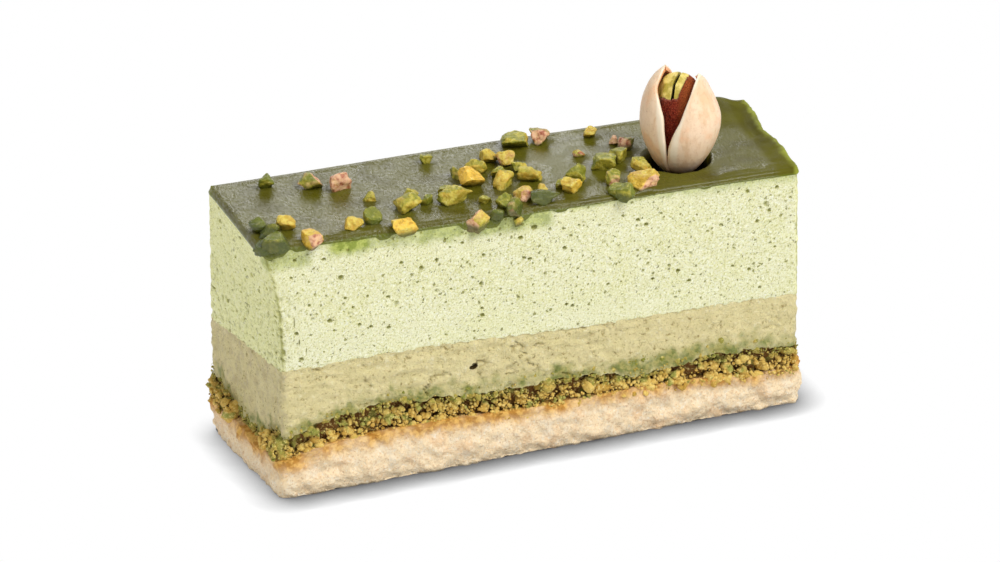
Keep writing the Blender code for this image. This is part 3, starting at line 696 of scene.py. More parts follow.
def nib_finish():
    """Chopped nut: green to orange by its ripeness, with papery skin and glaze where they cling, painted
    shade in patches, in the fibres' low parts and in crevices, and painted highlight on the raised fibres.
    """
    finish = Finish("nibs")
    finish.soften(0.15, (0.5, 0.45, 0.15))
    ripe, coat = finish.marks("ripe"), finish.marks("coat")
    fibres = finish.noise(0.6, 4.0, 0.6)
    green = finish.lay(rgb(112, 122, 26), rgb(190, 178, 58), ripe, 0.0, 0.35)
    yellow = finish.lay(green, rgb(226, 202, 84), ripe, 0.35, 0.65)
    flesh = finish.lay(yellow, rgb(250, 204, 72), ripe, 0.7, 1.0)
    # A paler cloudy tone that is also painted highlight on the raised fibres.
    cloudy_and_lit = finish.lay(flesh, rgb(238, 226, 140), fibres, 0.52, 0.72, 0.6)
    # A shade colour, painted in patches, in the fibres' low parts and, darker, in the crevices.
    shade = finish.lay(rgb(112, 118, 14), rgb(196, 152, 34), ripe, 0.3, 0.6)
    patched = finish.lay(cloudy_and_lit, shade, finish.noise(1.3), 0.44, 0.6, 0.6)
    shaded = finish.lay(patched, shade, fibres, 0.5, 0.34, 0.8)
    crevice_shade = finish.lay(shaded, rgb(84, 84, 10), finish.open_sky(2.2), 0.75, 0.25, 0.75)
    papery = finish.lay(rgb(244, 196, 152), rgb(178, 96, 66), finish.noise(0.8), 0.42, 0.7)
    skinned = finish.marked("skin", crevice_shade, papery)
    coated = finish.mix(finish.times(coat, 0.85), skinned, rgb(70, 80, 24))
    return finish.done(coated, finish.bump(fibres, 0.34), finish.between(coat, 0.0, 1.0, 0.45, 0.2))


def shell_finish(color):
    """Smooth ivory shell with faint streaks along it, a pink blush and a browner foot."""
    finish = Finish("shell")
    finish.soften(0.08, (0.8, 0.5, 0.3))
    streaks = finish.noise(1.4, 4.0, 0.6, finish.scaled((1.0, 1.0, 0.25)))
    streaked = finish.lay(color, rgb(226, 186, 142), streaks, 0.45, 0.7, 0.7)
    blushed = finish.lay(streaked, rgb(246, 198, 154), finish.noise(3.6), 0.46, 0.68, 0.8)
    mottled = finish.lay(blushed, rgb(214, 168, 124), finish.noise(0.7, 4.0, 0.65), 0.5, 0.7, 0.35)
    specked = finish.lay(mottled, rgb(178, 124, 80), finish.noise(0.45, 4.0, 0.7), 0.62, 0.72, 0.5)
    rimmed = finish.marked("rim", specked, rgb(250, 232, 204))
    foot = finish.marked("end", rimmed, rgb(206, 160, 106))
    inner = finish.marked("inner", foot, rgb(232, 164, 112))
    return finish.done(inner, finish.bump(finish.noise(0.6, 4.0), 0.07, finish.bump(streaks, 0.1)), 0.45)


def leaf_finish():
    """The seed's bare flesh: yellow-green with paler patches, painted nearly black down in the split as its
    shade.
    """
    finish = Finish("seed leaves")
    finish.soften(0.05, (0.6, 0.5, 0.2))
    flesh = finish.lay(rgb(184, 164, 56), rgb(240, 218, 122), finish.noise(1.4, 4.0), 0.36, 0.6)
    # Painted shade: nearly black where the open sky is small, down in the split.
    seen = finish.lay(rgb(30, 22, 4), flesh, finish.open_sky(1.2), 0.2, 0.55)
    return finish.done(seen, finish.bump(finish.noise(0.5, 4.0), 0.14), 0.45)


def skin_finish(color):
    """The seed's thin skin: a paler net over maroon, orange-brown to the right, papery where it is torn."""
    finish = Finish("seed skin")
    fuzzy = finish.noise(0.35, 5.0, 0.7)
    net = finish.between(finish.cells(0.42, finish.shaken(fuzzy, 0.5), "DISTANCE_TO_EDGE"), 0.24, 0.0)
    patched = finish.lay(color, rgb(124, 34, 18), finish.noise(1.5), 0.42, 0.62)
    netted = finish.mix(finish.times(net, 0.75), patched, rgb(178, 78, 50))
    mottled = finish.lay(netted, rgb(76, 12, 4), fuzzy, 0.5, 0.66, 0.8)
    orange = finish.marked("side", mottled, rgb(176, 92, 42))
    torn = finish.marked("edge", orange, rgb(188, 120, 100))
    return finish.done(torn, finish.bump(finish.math("ADD", net, fuzzy), 0.16), 0.6,
                       {"Specular IOR Level": 0.15})


class CAKE_OT_base(bpy.types.Operator):
    """Builds the rough biscuit base"""
    bl_idname = "cake.base"
    bl_label = "Biscuit base"

    corner_round = 2.4
    soaked_depth = 3.4
    granule = 1.5
    # How far crumbs, granules and plates stand out of the sides, and lumps into the underside.
    crumb_height = 0.16
    granule_height = 0.14
    plate_height = 0.28
    lump_height = 0.25

    def execute(self, context):
        piece = grid_block("base", layer_cells(BASE_TOP))
        soaked = []
        for vert, out, w in lay_layer(piece, BASE_CORNERS, lambda x, y: 0.0, base_top, self.corner_round):
            place = vert.co.copy()
            x, y, z = place
            if out.length:
                vert.co += self.relief(place) * out
                vert.co.z *= base_top(vert.co.x, vert.co.y) / base_top(x, y)
            elif w < 0.5:
                inside = smooth_step(14.0, 12.0, abs(y)) * smooth_step(49.0, 46.0, abs(x))
                vert.co.z += self.lump_height * inside * max(0.0, grain((x, y, 0.0), 1.6, 5.0))
            below = base_top(x, y) - z + 0.8 * grain(place, 2.2, 1.0)
            patchy = 0.55 + 0.45 * smooth_step(-0.4, 0.2, grain((x, y, 0.0), 5.0, 4.0))
            soaked.append(smooth_step(self.soaked_depth, 0.3, below) * patchy)
        set_marks(piece, soaked=soaked)
        finish_piece(piece, biscuit_finish(context.scene.cake_colors.biscuit),
                     nodes=["biscuit_base"])
        return {"FINISHED"}

    def relief(self, place):
        """How far the side stands out: slow waves, less at the rounded foot, crumbs, granules and plates."""
        coarse = noise.noise(Vector((place.x, place.y, 1.7 * place.z)) * 0.23)
        fine = noise.noise(place * 0.6)
        under = 1 - smooth_step(0.0, 1.6 * BASE_EDGE_ROUND, place.z)
        push = BASE_ROUGHNESS * (coarse + 0.6 * fine) - 0.25 * BASE_EDGE_ROUND * under
        granules = 1 - 2 * noise.voronoi(place / self.granule)[0][0] ** 2
        crumbs = self.crumb_height * grain(place, 1.3, 3.0, 4) + self.granule_height * granules
        return push + crumbs + self.plate_height * smooth_step(0.1, 0.2, grain(place, 2.6, 7.0, 4))


class CAKE_OT_crumbs(bpy.types.Operator):
    """Builds the band of green biscuit crumbs, a dark core with loose crumbs round it; the core's dark brown
    is painted shade in the gaps
    """
    bl_idname = "cake.crumbs"
    bl_label = "Green crumbs"

    core_cells = (180, 56, 8)
    # The core's dark brown is painted shade: it darkens the gaps between the loose crumbs.
    core_shade_color = rgb(128, 86, 28)
    core_inset = 1.5
    # The height at which the band's outline is taken.
    outline_height = 11.0
    # A crumb strays down on the base where its draw is under the first, and up the cream under the second.
    strays = (0.13, 0.21)
    # The share of the stain's height that crumbs reach, and the share of them that lie in the clumps.
    climb = 0.5
    clumped = 0.07

    def execute(self, context):
        colors, shape = context.scene.cake_colors, context.scene.cake_shape
        core = grid_block("crumb_core", self.core_cells)
        for vert, out, _ in lay_layer(core, BLOCK_CORNERS, base_top, crumb_top, radius=1.6):
            vert.co += (0.7 * grain(vert.co, 1.0, 4.0) - self.core_inset) * out
        self.finish(core, self.core_shade_color)
        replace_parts(core, "crumb_layer")
        self.scatter("crumbs_large", 21, shape.large_crumbs, (0.9, 2.4), 2, colors.crumb, inwards=0.8)
        self.scatter("crumbs_small", 22, shape.small_crumbs, (0.3, 0.95), 1, colors.crumb, inwards=0.4)
        return {"FINISHED"}

    def finish(self, piece, color):
        finish_piece(piece, crumb_finish(piece.name.replace("_", " "), color), smooth=75)

    def scatter(self, name, seed, count, sizes, subdivisions, color, inwards):
        """Crumbs of one kind, thrown against all four sides of the band but for its hollows."""
        rng = random.Random(seed)
        ball, faces = small_shape(subdivisions)
        shapes, tints, coats = [], [], []
        while len(shapes) < count:
            size = sizes[0] + (sizes[1] - sizes[0]) * rng.random() ** 1.8
            place, out = self.side_place(rng)
            low, high = base_top(*place), crumb_top(*place)
            ragged = smooth_step(0.0, 0.3, grain((place.x, place.y, 0.0), 1.8, 40.0))
            z = rng.uniform(low + ragged - 0.2 * size, high + 0.1)
            strayed = rng.random()
            if strayed < self.strays[0]:
                z = low - rng.uniform(0.1, 1.8) * rng.random()
            elif strayed < self.strays[1]:
                z = high + self.climb * crumb_spread(place.x, place.y) * rng.random() ** 1.3
            hollow = smooth_step(0.11, 0.2, grain((place.x, place.y, 1.5 * z), 2.2, 15.0))
            smeared = smooth_step(0.4, 1.2, z - high) * (out.x < 0)
            if rng.random() < max(0.95 * hollow * smooth_step(0.6, 1.4, z - low), 0.8 * smeared):
                continue
            in_clump = rng.random() < self.clumped
            if in_clump:
                place, out, z = self.in_clump(rng)
                size *= 1.3
            depth = rng.uniform(-inwards, 0.4) - 0.3 * size
            if z < low:
                depth = 0.15 - 0.25 * size
            elif z > high:
                size *= 0.8
                depth = 0.1 - 0.35 * size
            craggy = ball * (1 + np.array([[rng.uniform(-0.22, 0.22)] for _ in ball]))
            squashed = craggy * [rng.uniform(0.7, 1.15), rng.uniform(0.7, 1.15), rng.uniform(0.6, 0.95)]
            centre = np.array([*(place + depth * out), z])
            shapes.append(squashed @ random_turn(rng) * size / 2 + centre)
            tints.extend([rng.random() ** 1.4] * len(ball))
            mossy = max(smooth_step(3.0, 0.2, high - z), 0.9 * (in_clump and out.y < 0))
            coats.extend([mossy * rng.uniform(0.5, 1.0)] * len(ball))
        piece = joined_mesh(name, shapes, faces)
        set_marks(piece, tint=tints, coat=coats)
        self.finish(piece, color)

    def in_clump(self, rng):
        """A place in one of the lumps of crumbs that stand out at the left corners."""
        x, y, z, reach, out = rng.choice(CLUMPS)
        spread = [reach * rng.uniform(-1, 1) for _ in range(3)]
        return Vector((x + spread[0], y + spread[1])), Vector(out), z + spread[2]

    def side_place(self, rng):
        """A place on the band's outline and the way out from it."""
        share = rng.random() * (LENGTH + DEPTH) * 2
        if share < 2 * LENGTH:
            v = float(share >= LENGTH)
            place = plan_point(BLOCK_CORNERS, (share % LENGTH) / LENGTH, v, self.outline_height)
            return place, Vector((0.0, 2 * v - 1))
        share -= 2 * LENGTH
        u = float(share >= DEPTH)
        place = plan_point(BLOCK_CORNERS, u, (share % DEPTH) / DEPTH, self.outline_height)
        return place, Vector((2 * u - 1, 0.0))


class CAKE_OT_cream(bpy.types.Operator):
    """Builds the dense cream, with knife streaks on its ends and smears on its long sides"""
    bl_idname = "cake.cream"
    bl_label = "Cream"

    grid_height = 12.0
    hole_place = (-12.5, -15.35, 18.5)
    hole_radius = 0.85

    def execute(self, context):
        piece = grid_block("cream", layer_cells(self.grid_height))
        stains, ends = [], []
        for vert, out, w in lay_layer(piece, BLOCK_CORNERS, crumb_top, cream_top):
            place = vert.co.copy()
            x, y, z = place
            above = z - crumb_top(x, y)
            if out.length:
                vert.co += self.relief(place, out, above) * out
                vert.co.z -= (1 - w) ** 4 * self.tongue(x, y, abs(out.y))
            patchy = 0.35 + 0.6 * smooth_step(-0.3, 0.25, grain((0.7 * x, 0.7 * y, z), 3.0, 12.0))
            high = crumb_spread(x, y)
            stains.append(patchy * smooth_step(high, 0.3 * high, above + 1.5 * grain(place, 1.8, 3.0)))
            ends.append(abs(out.x))
        set_marks(piece, stain=stains, end=ends)
        cut_away(piece, self.hole())
        # Marks the bubble's wall, which the finish paints dark brown as its shade.
        set_marks(piece, hollow=[self.in_hole(vert.co) for vert in piece.data.vertices])
        finish_piece(piece, cream_finish(context.scene.cake_colors.cream), smooth=50,
                     nodes=["cream_layer"])
        return {"FINISHED"}

    def relief(self, place, out, above):
        """How far a side stands out: streaks on the ends, and smears, cracks and lumps on the long sides."""
        x, y, z = place
        ends, sides = abs(out.x), abs(out.y)
        streak = grain((0.4 * x, y, 0.12 * z), 0.9, 2.0, 4)
        smear = grain((0.5 * x, y, z), 1.3, 6.0, 4)
        crack = smooth_step(0.07, 0.0, abs(grain((0.6 * x, y, z), 3.2, 11.0, 2)))
        crack *= smooth_step(0.1, 0.35, grain(place, 5.0, 13.0, 2))
        rough = 0.4 + 0.6 * smooth_step(25.0, 5.0, x)
        push = 0.26 * ends * (streak + smear) + sides * rough * (0.4 * smear - 0.6 * crack)
        corner = smooth_step(-44.6, -46.2, x) * smooth_step(-14.0, -15.0, y)
        push += 0.4 * corner * (0.5 + grain(place, 1.6, 17.0))
        lumps = abs(grain(place, 1.6, 14.0, 2))
        return push + 0.7 * smooth_step(2.6, 0.2, above) * (lumps - 0.15) * sides

    def tongue(self, x, y, sides):
        """How far the foot runs down between the crumbs, most in one sag on the front."""
        sag = 1.1 * smooth_step(12.0, 17.0, x) * smooth_step(31.0, 27.0, x) * sides * (y < 0)
        return 1.1 * max(0.0, grain((x, y, 0.0), 3.5, 8.0)) + 0.5 * grain((x, y, 0.0), 0.9) + sag

    def hole(self):
        """The one large bubble in the cream's front."""
        cutter = add_shape("ico_sphere", subdivisions=4, radius=self.hole_radius)
        for vert in cutter.data.vertices:
            x, y, z = vert.co * (1 + 0.25 * noise.noise(2.2 * vert.co))
            vert.co = Vector(self.hole_place) + Vector((x, y, 0.62 * z + 0.15 * x))
        return cutter

    def in_hole(self, place):
        """1 on the wall of the bubble and 0 outside it."""
        away = (place - Vector(self.hole_place)).length / self.hole_radius
        return smooth_step(1.02, 0.98, away) * smooth_step(-15.8, -15.5, place.y)


class CAKE_OT_mousse(bpy.types.Operator):
    """Builds the airy mousse, with its bubbles cut open on all four sides"""
    bl_idname = "cake.mousse"
    bl_label = "Mousse"

    # The least wall between two bubbles.
    bubble_gap = 0.12
    # The cutter of the pit: its height, how far it goes below the glaze, and the shares of its radii.
    pit_height = 8.0
    pit_below = 0.7
    pit_widths = (1.02, 1.3)

    def execute(self, context):
        piece = grid_block("mousse", layer_cells(MOUSSE_TOP - CREAM_TOP))
        for vert, out, w in lay_layer(piece, BLOCK_CORNERS, cream_top, mousse_top):
            if not out.length:
                continue
            x, y, z = vert.co
            vert.co += self.relief(x, y, z, abs(out.x)) * out
            if w < 0.05:
                vert.co.z += 0.45 * grain((x, y, 0.0), 1.3, 7.0, 4) - 0.15
                vert.co += 0.06 * out
        cut_away(piece, self.pit())
        cut_away(piece, self.bubbles(context.scene.cake_shape.bubbles))
        marks = zip(*(self.marks_at(vert.co) for vert in piece.data.vertices))
        set_marks(piece, **dict(zip(("stain", "porous", "end", "hollow"), marks)))
        finish_piece(piece, mousse_finish(context.scene.cake_colors.mousse), smooth=35,
                     nodes=["mousse_layer"])
        return {"FINISHED"}

    def relief(self, x, y, z, ends):
        """How far a side stands out: foam, streaks on the ends, and torn holes near the front left corner."""
        streaks = grain((0.4 * x, 0.45 * y, z), 0.6, 2.0, 3)
        foam = 0.08 * grain((x, y, z), 4.0, 2.0) + 0.08 * grain((x, y, z), 0.9, 5.0, 4)
        near_corner = smooth_step(-41.0, -45.0, x) * smooth_step(38.0, 30.0, z)
        torn = max(0.0, grain((x, y, 0.3 * z), 0.7, 9.0)) * near_corner
        ragged = smooth_step(-43.5, -45.5, x) * smooth_step(-10.5, -13.0, y)
        torn += 1.3 * ragged * max(0.0, grain((x, 0.6 * y, z), 0.8, 23.0) - 0.05)
        return foam + 0.2 * streaks * ends - 0.3 * torn

    def marks_at(self, place):
        """How green the glaze made a place, how full of pin-holes, how near an end and how far in it is; the
        last is where the finish paints the bubbles' shade.
        """
        x, y, z = place
        under = MOUSSE_TOP - z + 0.6 * grain(place, 1.6, 4.0)
        stain = 0.5 * smooth_step(0.9, 0.2, under)
        if y < -12.0:
            for start, end, depth, strength in STAINS:
                along = smooth_step(start - 0.9, start + 0.9, x) * smooth_step(end + 0.9, end - 0.9, x)
                stain = max(stain, strength * along * smooth_step(depth + 0.8, depth - 1.2, under))
        smeared = smooth_step(11.0, 14.0, x) * smooth_step(25.0, 23.0, x)
        smeared *= smooth_step(27.8, 26.5, z + 0.5 * x - 9)
        front_left, front_right, back_right, back_left = corners_at(BLOCK_CORNERS, z)
        share = (y - front_left.y) / (back_left.y - front_left.y)
        from_ends = min(x - front_left.lerp(back_left, share).x, front_right.lerp(back_right, share).x - x)
        inwards = min(from_ends, y - side_at(x, 0.0, z), side_at(x, 1.0, z) - y)
        return (stain, 1 - 0.8 * smeared, smooth_step(0.8, 0.2, from_ends),
                0.9 * smooth_step(0.12, 0.35, inwards))

    def pit(self):
        """The hollow under the nut, a little wider than the glaze that lines it."""
        middle = GLAZE_TOP - PIT_DEPTH - self.pit_below + self.pit_height / 2
        cutter = add_shape("cone", vertices=40, radius1=self.pit_widths[0], radius2=self.pit_widths[1],
                           depth=self.pit_height, location=(*PIT_CENTRE, middle))
        return stretch(cutter, (*PIT_RADII, 1.0))

    def bubbles(self, count):
        """Balls, none touching another, where bubbles lay across the cut sides."""
        rng = random.Random(5)
        ball, faces = small_shape(2)
        placed, sizes = [], []

        def place(centre, size):
            reach = max(size) + self.bubble_gap
            if any((centre - other).length < reach + max(taken) for other, taken in zip(placed, sizes)):
                return
            placed.append(centre)
            sizes.append(size)

        for side, along, z, length in SLITS:
            size = (0.14, 0.3, length / 2) if side == 0 else (0.3, length / 2, 0.16)
            place(self.on_side(side, along, z), size)
        for x, z, radius in FRONT_BUBBLES:
            place(self.on_side(0, x, z), (radius, radius, 0.85 * radius))
        for x, z, radius in FRONT_DENTS:
            place(self.on_side(0, x, z) + Vector((0.0, -0.6 * radius, 0.0)), (radius, radius, radius))
        while len(placed) < count:
            side = rng.choices(range(4), weights=(LENGTH, DEPTH, LENGTH, DEPTH))[0]
            along = rng.uniform(-47.5, 49.0) if side % 2 == 0 else rng.uniform(-14.0, 14.0)
            radius = 0.16 + 0.32 * rng.random() ** 4
            z = rng.uniform(CREAM_TOP + 0.5, MOUSSE_TOP - 1.2)
            centre = self.on_side(side, along, z)
            if z < cream_top(centre.x, centre.y) + radius + 0.6:
                continue
            drawn = 1.0 if side % 2 == 0 else rng.uniform(1.0, 2.2)
            place(centre, (radius * rng.uniform(0.8, 1.2), radius * drawn, radius * rng.uniform(0.7, 1.1)))
        shapes = []
        for centre, size in zip(placed, sizes):
            uneven = ball * (1 + np.array([[rng.uniform(-0.15, 0.15)] for _ in ball]))
            shapes.append(uneven * size + np.array(centre))
        return joined_mesh("bubble_cutter", shapes, faces)

    def on_side(self, side, along, z):
        """A place on the front, the right end, the back or the left end, as side goes from 0 to 3."""
        if side % 2 == 0:
            share = (along + LENGTH / 2) / LENGTH
            place = plan_point(BLOCK_CORNERS, share, side / 2, z)
        else:
            share = (along + DEPTH / 2) / DEPTH
            place = plan_point(BLOCK_CORNERS, (3 - side) / 2, share, z)
        return Vector((place.x, place.y, z))


class CAKE_OT_glaze(bpy.types.Operator):
    """Builds the poured glaze, rolled over its edges, with tongues on the front and the pit"""
    bl_idname = "cake.glaze"
    bl_label = "Glaze"

    cells = (300, 120, 6)
    corner_round = 1.2
    rim_round = 0.75
    nib_climb = 0.3

    def execute(self, context):
        piece = grid_block("glaze_sheet", self.cells)
        self.gather(piece)
        marks = {name: [] for name in ("rim", "grainy", "dry", "side", "thin", "pit")}
        for vert, out, w in lay_layer(piece, BLOCK_CORNERS, self.lower, self.upper, self.corner_round):
            x, y, _ = vert.co
            edge = 0.0 if out.length else max(self.from_edge(x, y), 0.0)
            pit = smooth_step(1.05, 0.9, pit_share(x, y) * (1 + 0.1 * grain((x, y, 0.0), 3.0, 21.0)))
            vert.co.z -= (PIT_DEPTH if w > 0.5 else PIT_DEPTH + 0.1) * pit
            if w > 0.99:
                vert.co.z += self.rim(x, y, edge) + self.round_nibs(x, y)
            elif out.length:
                vert.co.z -= self.rim_round * w
            if out.length:
                hang = self.hang(x, y)
                vert.co.z -= hang * (1 - w) ** 1.2
                bulge = math.sin(math.pi * min(1.0, 0.15 + 0.8 * w)) * (0.14 + 0.2 * min(hang, 1.5))
                vert.co += (bulge - 0.1 * (w < 0.05)) * out
            gap = end_at(y, 1.0) - x
            vert.co.x -= self.dent(y) * smooth_step(5.0, 0.0, gap)
            marks["rim"].append(smooth_step(1.3, 0.5, edge))
            marks["grainy"].append(smooth_step(16.0, -6.0, x))
            marks["dry"].append(smooth_step(5.5, 3.0, gap))
            marks["side"].append(1.0 if out.length and w < 0.9 else 0.0)
            marks["thin"].append(self.thinness(x, y, w, edge, gap))
            # The pit's mark, where the finish paints the pit's shade nearly black.
            marks["pit"].append(smooth_step(1.03, 0.97, pit_share(x, y)))
        set_marks(piece, **marks)
        finish_piece(piece, glaze_finish(context.scene.cake_colors.glaze), nodes=["glaze"])
        return {"FINISHED"}

    def lower(self, x, y):
        return mousse_top(x, y) - 0.05

    def upper(self, x, y):
        return glaze_top(x, y) + 0.03 * grain((x, y, 0.0), 3.0, 1.0)

    def rim(self, x, y, edge):
        """The low roll inside the edges, highest at the right of the front, less the round outside it."""
        right = smooth_step(30.0, 37.0, x) * (y < 0)
        roll = (0.1 + 0.16 * right) * math.exp(-((edge - 1.4 - right) / (0.6 + 0.5 * right)) ** 2)
        beyond = max(self.rim_round - edge, 0.0)
        fall = self.rim_round - math.sqrt(self.rim_round ** 2 - beyond ** 2)
        return roll * (0.7 + 0.8 * grain((x, y, 0.0), 2.5, 9.0)) - fall

    def dent(self, y):
        """How far the right end falls short of straight at a place across the cake."""
        return 0.9 * math.exp(-((y - 1.5) / 4.5) ** 2) + 0.35 * grain((50.0, y, 0.0), 3.0, 4.0)

    def gather(self, piece):
        """Draws the grid's lines towards the rims, which are finer than the rest."""
        for vert in piece.data.vertices:
            u, v, _ = vert.co
            vert.co.x = u - 0.5 * math.sin(math.tau * u) / math.tau
            vert.co.y = v - 0.7 * math.sin(math.tau * v) / math.tau

    def round_nibs(self, x, y):
        """How far the glaze climbs up the nibs that stand in it."""
        climbed = 0.0
        for nib_x, nib_y, length, *_ in NIBS:
            if abs(x - nib_x) < 5 and abs(y - nib_y) < 5:
                gap = max(math.hypot(x - nib_x, y - nib_y) - 0.36 * length, 0.0)
                climbed = max(climbed, self.nib_climb * math.exp(-(gap / 0.7) ** 2))
        return climbed

    def thinness(self, x, y, w, edge, gap):
        """How much light comes through near the right end, the back edge and the tongues' tips."""
        patchy = 0.75 + 0.5 * grain((x, y, 0.0), 2.5, 2.0)
        right = smooth_step(1.5, 0.4, gap - 0.5 * grain((x, y, 0.0), 2.0, 5.0))
        back = 0.6 * smooth_step(1.0, 0.1, edge) * smooth_step(10.0, 13.0, y)
        tips = 0.5 * smooth_step(0.4, 0.0, w) * smooth_step(1.0, 0.0, edge)
        return max(0.0, min(1.0, max(right, back, tips) * patchy))

    def from_edge(self, x, y):
        """How far a place is in from the nearest edge."""
        return min(y - side_at(x, 0.0), side_at(x, 1.0) - y, x - end_at(y, 0.0), end_at(y, 1.0) - x)

    def hang(self, x, y):
        """How far the glaze hangs down the side at a place on its edge."""
        hang = 0.02 + 0.2 * grain((x, y, 0.0), 4.0, 6.0)
        if y < -10:
            for place, drop, width in DRIPS:
                hang = max(hang, drop * (1 - smooth_step(0.2 * width, 0.6 * width, abs(x - place))))
        left = 0.5 * smooth_step(-46.0, -48.5, x)
        return max(hang, 0.0) + left


class CAKE_OT_nibs(bpy.types.Operator):
    """Scatters the chopped nibs on the glaze and over its front edge"""
    bl_idname = "cake.nibs"
    bl_label = "Chopped nibs"

    rounding = 2
    enlarged = 1.02
    tallest = 3.8
    # Share of every nib's height that the glaze wets.
    wet = 0.2

    def execute(self, context):
        rng = random.Random(11)
        ball, faces = small_shape(4)
        material = nib_finish()
        kinds = {"nibs_green": [], "nibs_yellow": [], "nibs_with_skin": []}
        for x, y, *rest in NIBS:
            self.place_nib(rng, kinds, ball, faces, (x, y, None), *rest)
        for x, drop, *rest in EDGE_NIBS:
            self.place_nib(rng, kinds, ball, faces, (x, side_at(x, 0.0) - 0.2, drop), *rest)
        for name, nibs in kinds.items():
            piece = joined_mesh(name, [nib["points"] for nib in nibs], faces)
            set_marks(piece, **{mark: np.concatenate([nib[mark] for nib in nibs])
                                for mark in ("ripe", "skin", "coat")})
            finish_piece(piece, material, smooth=60)
        return {"FINISHED"}

    def chop(self, rng, ball):
        """A ball cut flat on ten sides; gives its points and which cut last reached each."""
        points = ball.copy()
        cut = np.zeros(len(points), int)
        for step in range(10):
            if step < 6:
                aim = Vector([(step // 2 == axis) * (1 if step % 2 else -1) for axis in range(3)])
                aim += 0.35 * Vector([rng.gauss(0, 1) for _ in range(3)])
                reach = rng.uniform(0.46, 0.68)
            else:
                aim = Vector([rng.gauss(0, 1) for _ in range(3)])
                reach = rng.uniform(0.56, 0.8)
            direction = np.array(aim.normalized())
            over = points @ direction - reach
            beyond = over > 0
            points[beyond] -= over[beyond, None] * direction
            cut[beyond] = step + 1
        return points, cut

    def place_nib(self, rng, kinds, ball, faces, place, length, ripe, skin, coat):
        """Chops one nib and lays it down, on the glaze or over the edge where its place has a drop."""
        x, y, drop = place
        length *= self.enlarged
        size = np.array([length, length * rng.uniform(0.72, 0.95),
                         min(length, self.tallest) * rng.uniform(0.75, 0.95)])
        points, cut = self.chop(rng, ball)
        points = rounded(points, faces, self.rounding)
        points /= np.ptp(points, axis=0)
        own = Vector((x, y, length))
        rough = np.array([noise.fractal(Vector(point) * 3 + own, 0.9, 2.0, 4) for point in points])
        points *= 1 + 0.16 * rough[:, None]
        turn = Matrix.Rotation(rng.uniform(0, math.pi), 3, "Z")
        turn = turn @ Matrix.Rotation(rng.uniform(-0.3, 0.3), 3, "X")
        points = (points * size) @ np.array(turn).T
        if drop is None:
            rest = glaze_top(x, y) - points[:, 2].min() - 0.15 * size[2]
        else:
            rest = GLAZE_TOP + 0.2 * size[2] - drop
        points += [x, y, rest]
        level = rest + (max(coat, self.wet) - 0.5) * size[2]
        coated = np.clip((level - points[:, 2] + 0.3 * rough) / 0.7 + 0.5, 0, 1)
        ripeness = np.clip(ripe + 0.18 * (cut % 3 == 1) - 0.12 * (cut % 3 == 2) + 0.1 * rough, 0, 1)
        has_skin = (cut % 4 == 1) | (cut == 8)
        skinned = np.clip(has_skin * (skin > 0) + (skin > 0.9) + 0.6 * rough * (skin > 0), 0, 1)
        kind = "nibs_with_skin" if skin >= 0.3 else "nibs_yellow" if ripe >= 0.5 else "nibs_green"
        kinds[kind].append({"points": points, "ripe": ripeness, "skin": skinned, "coat": coated})


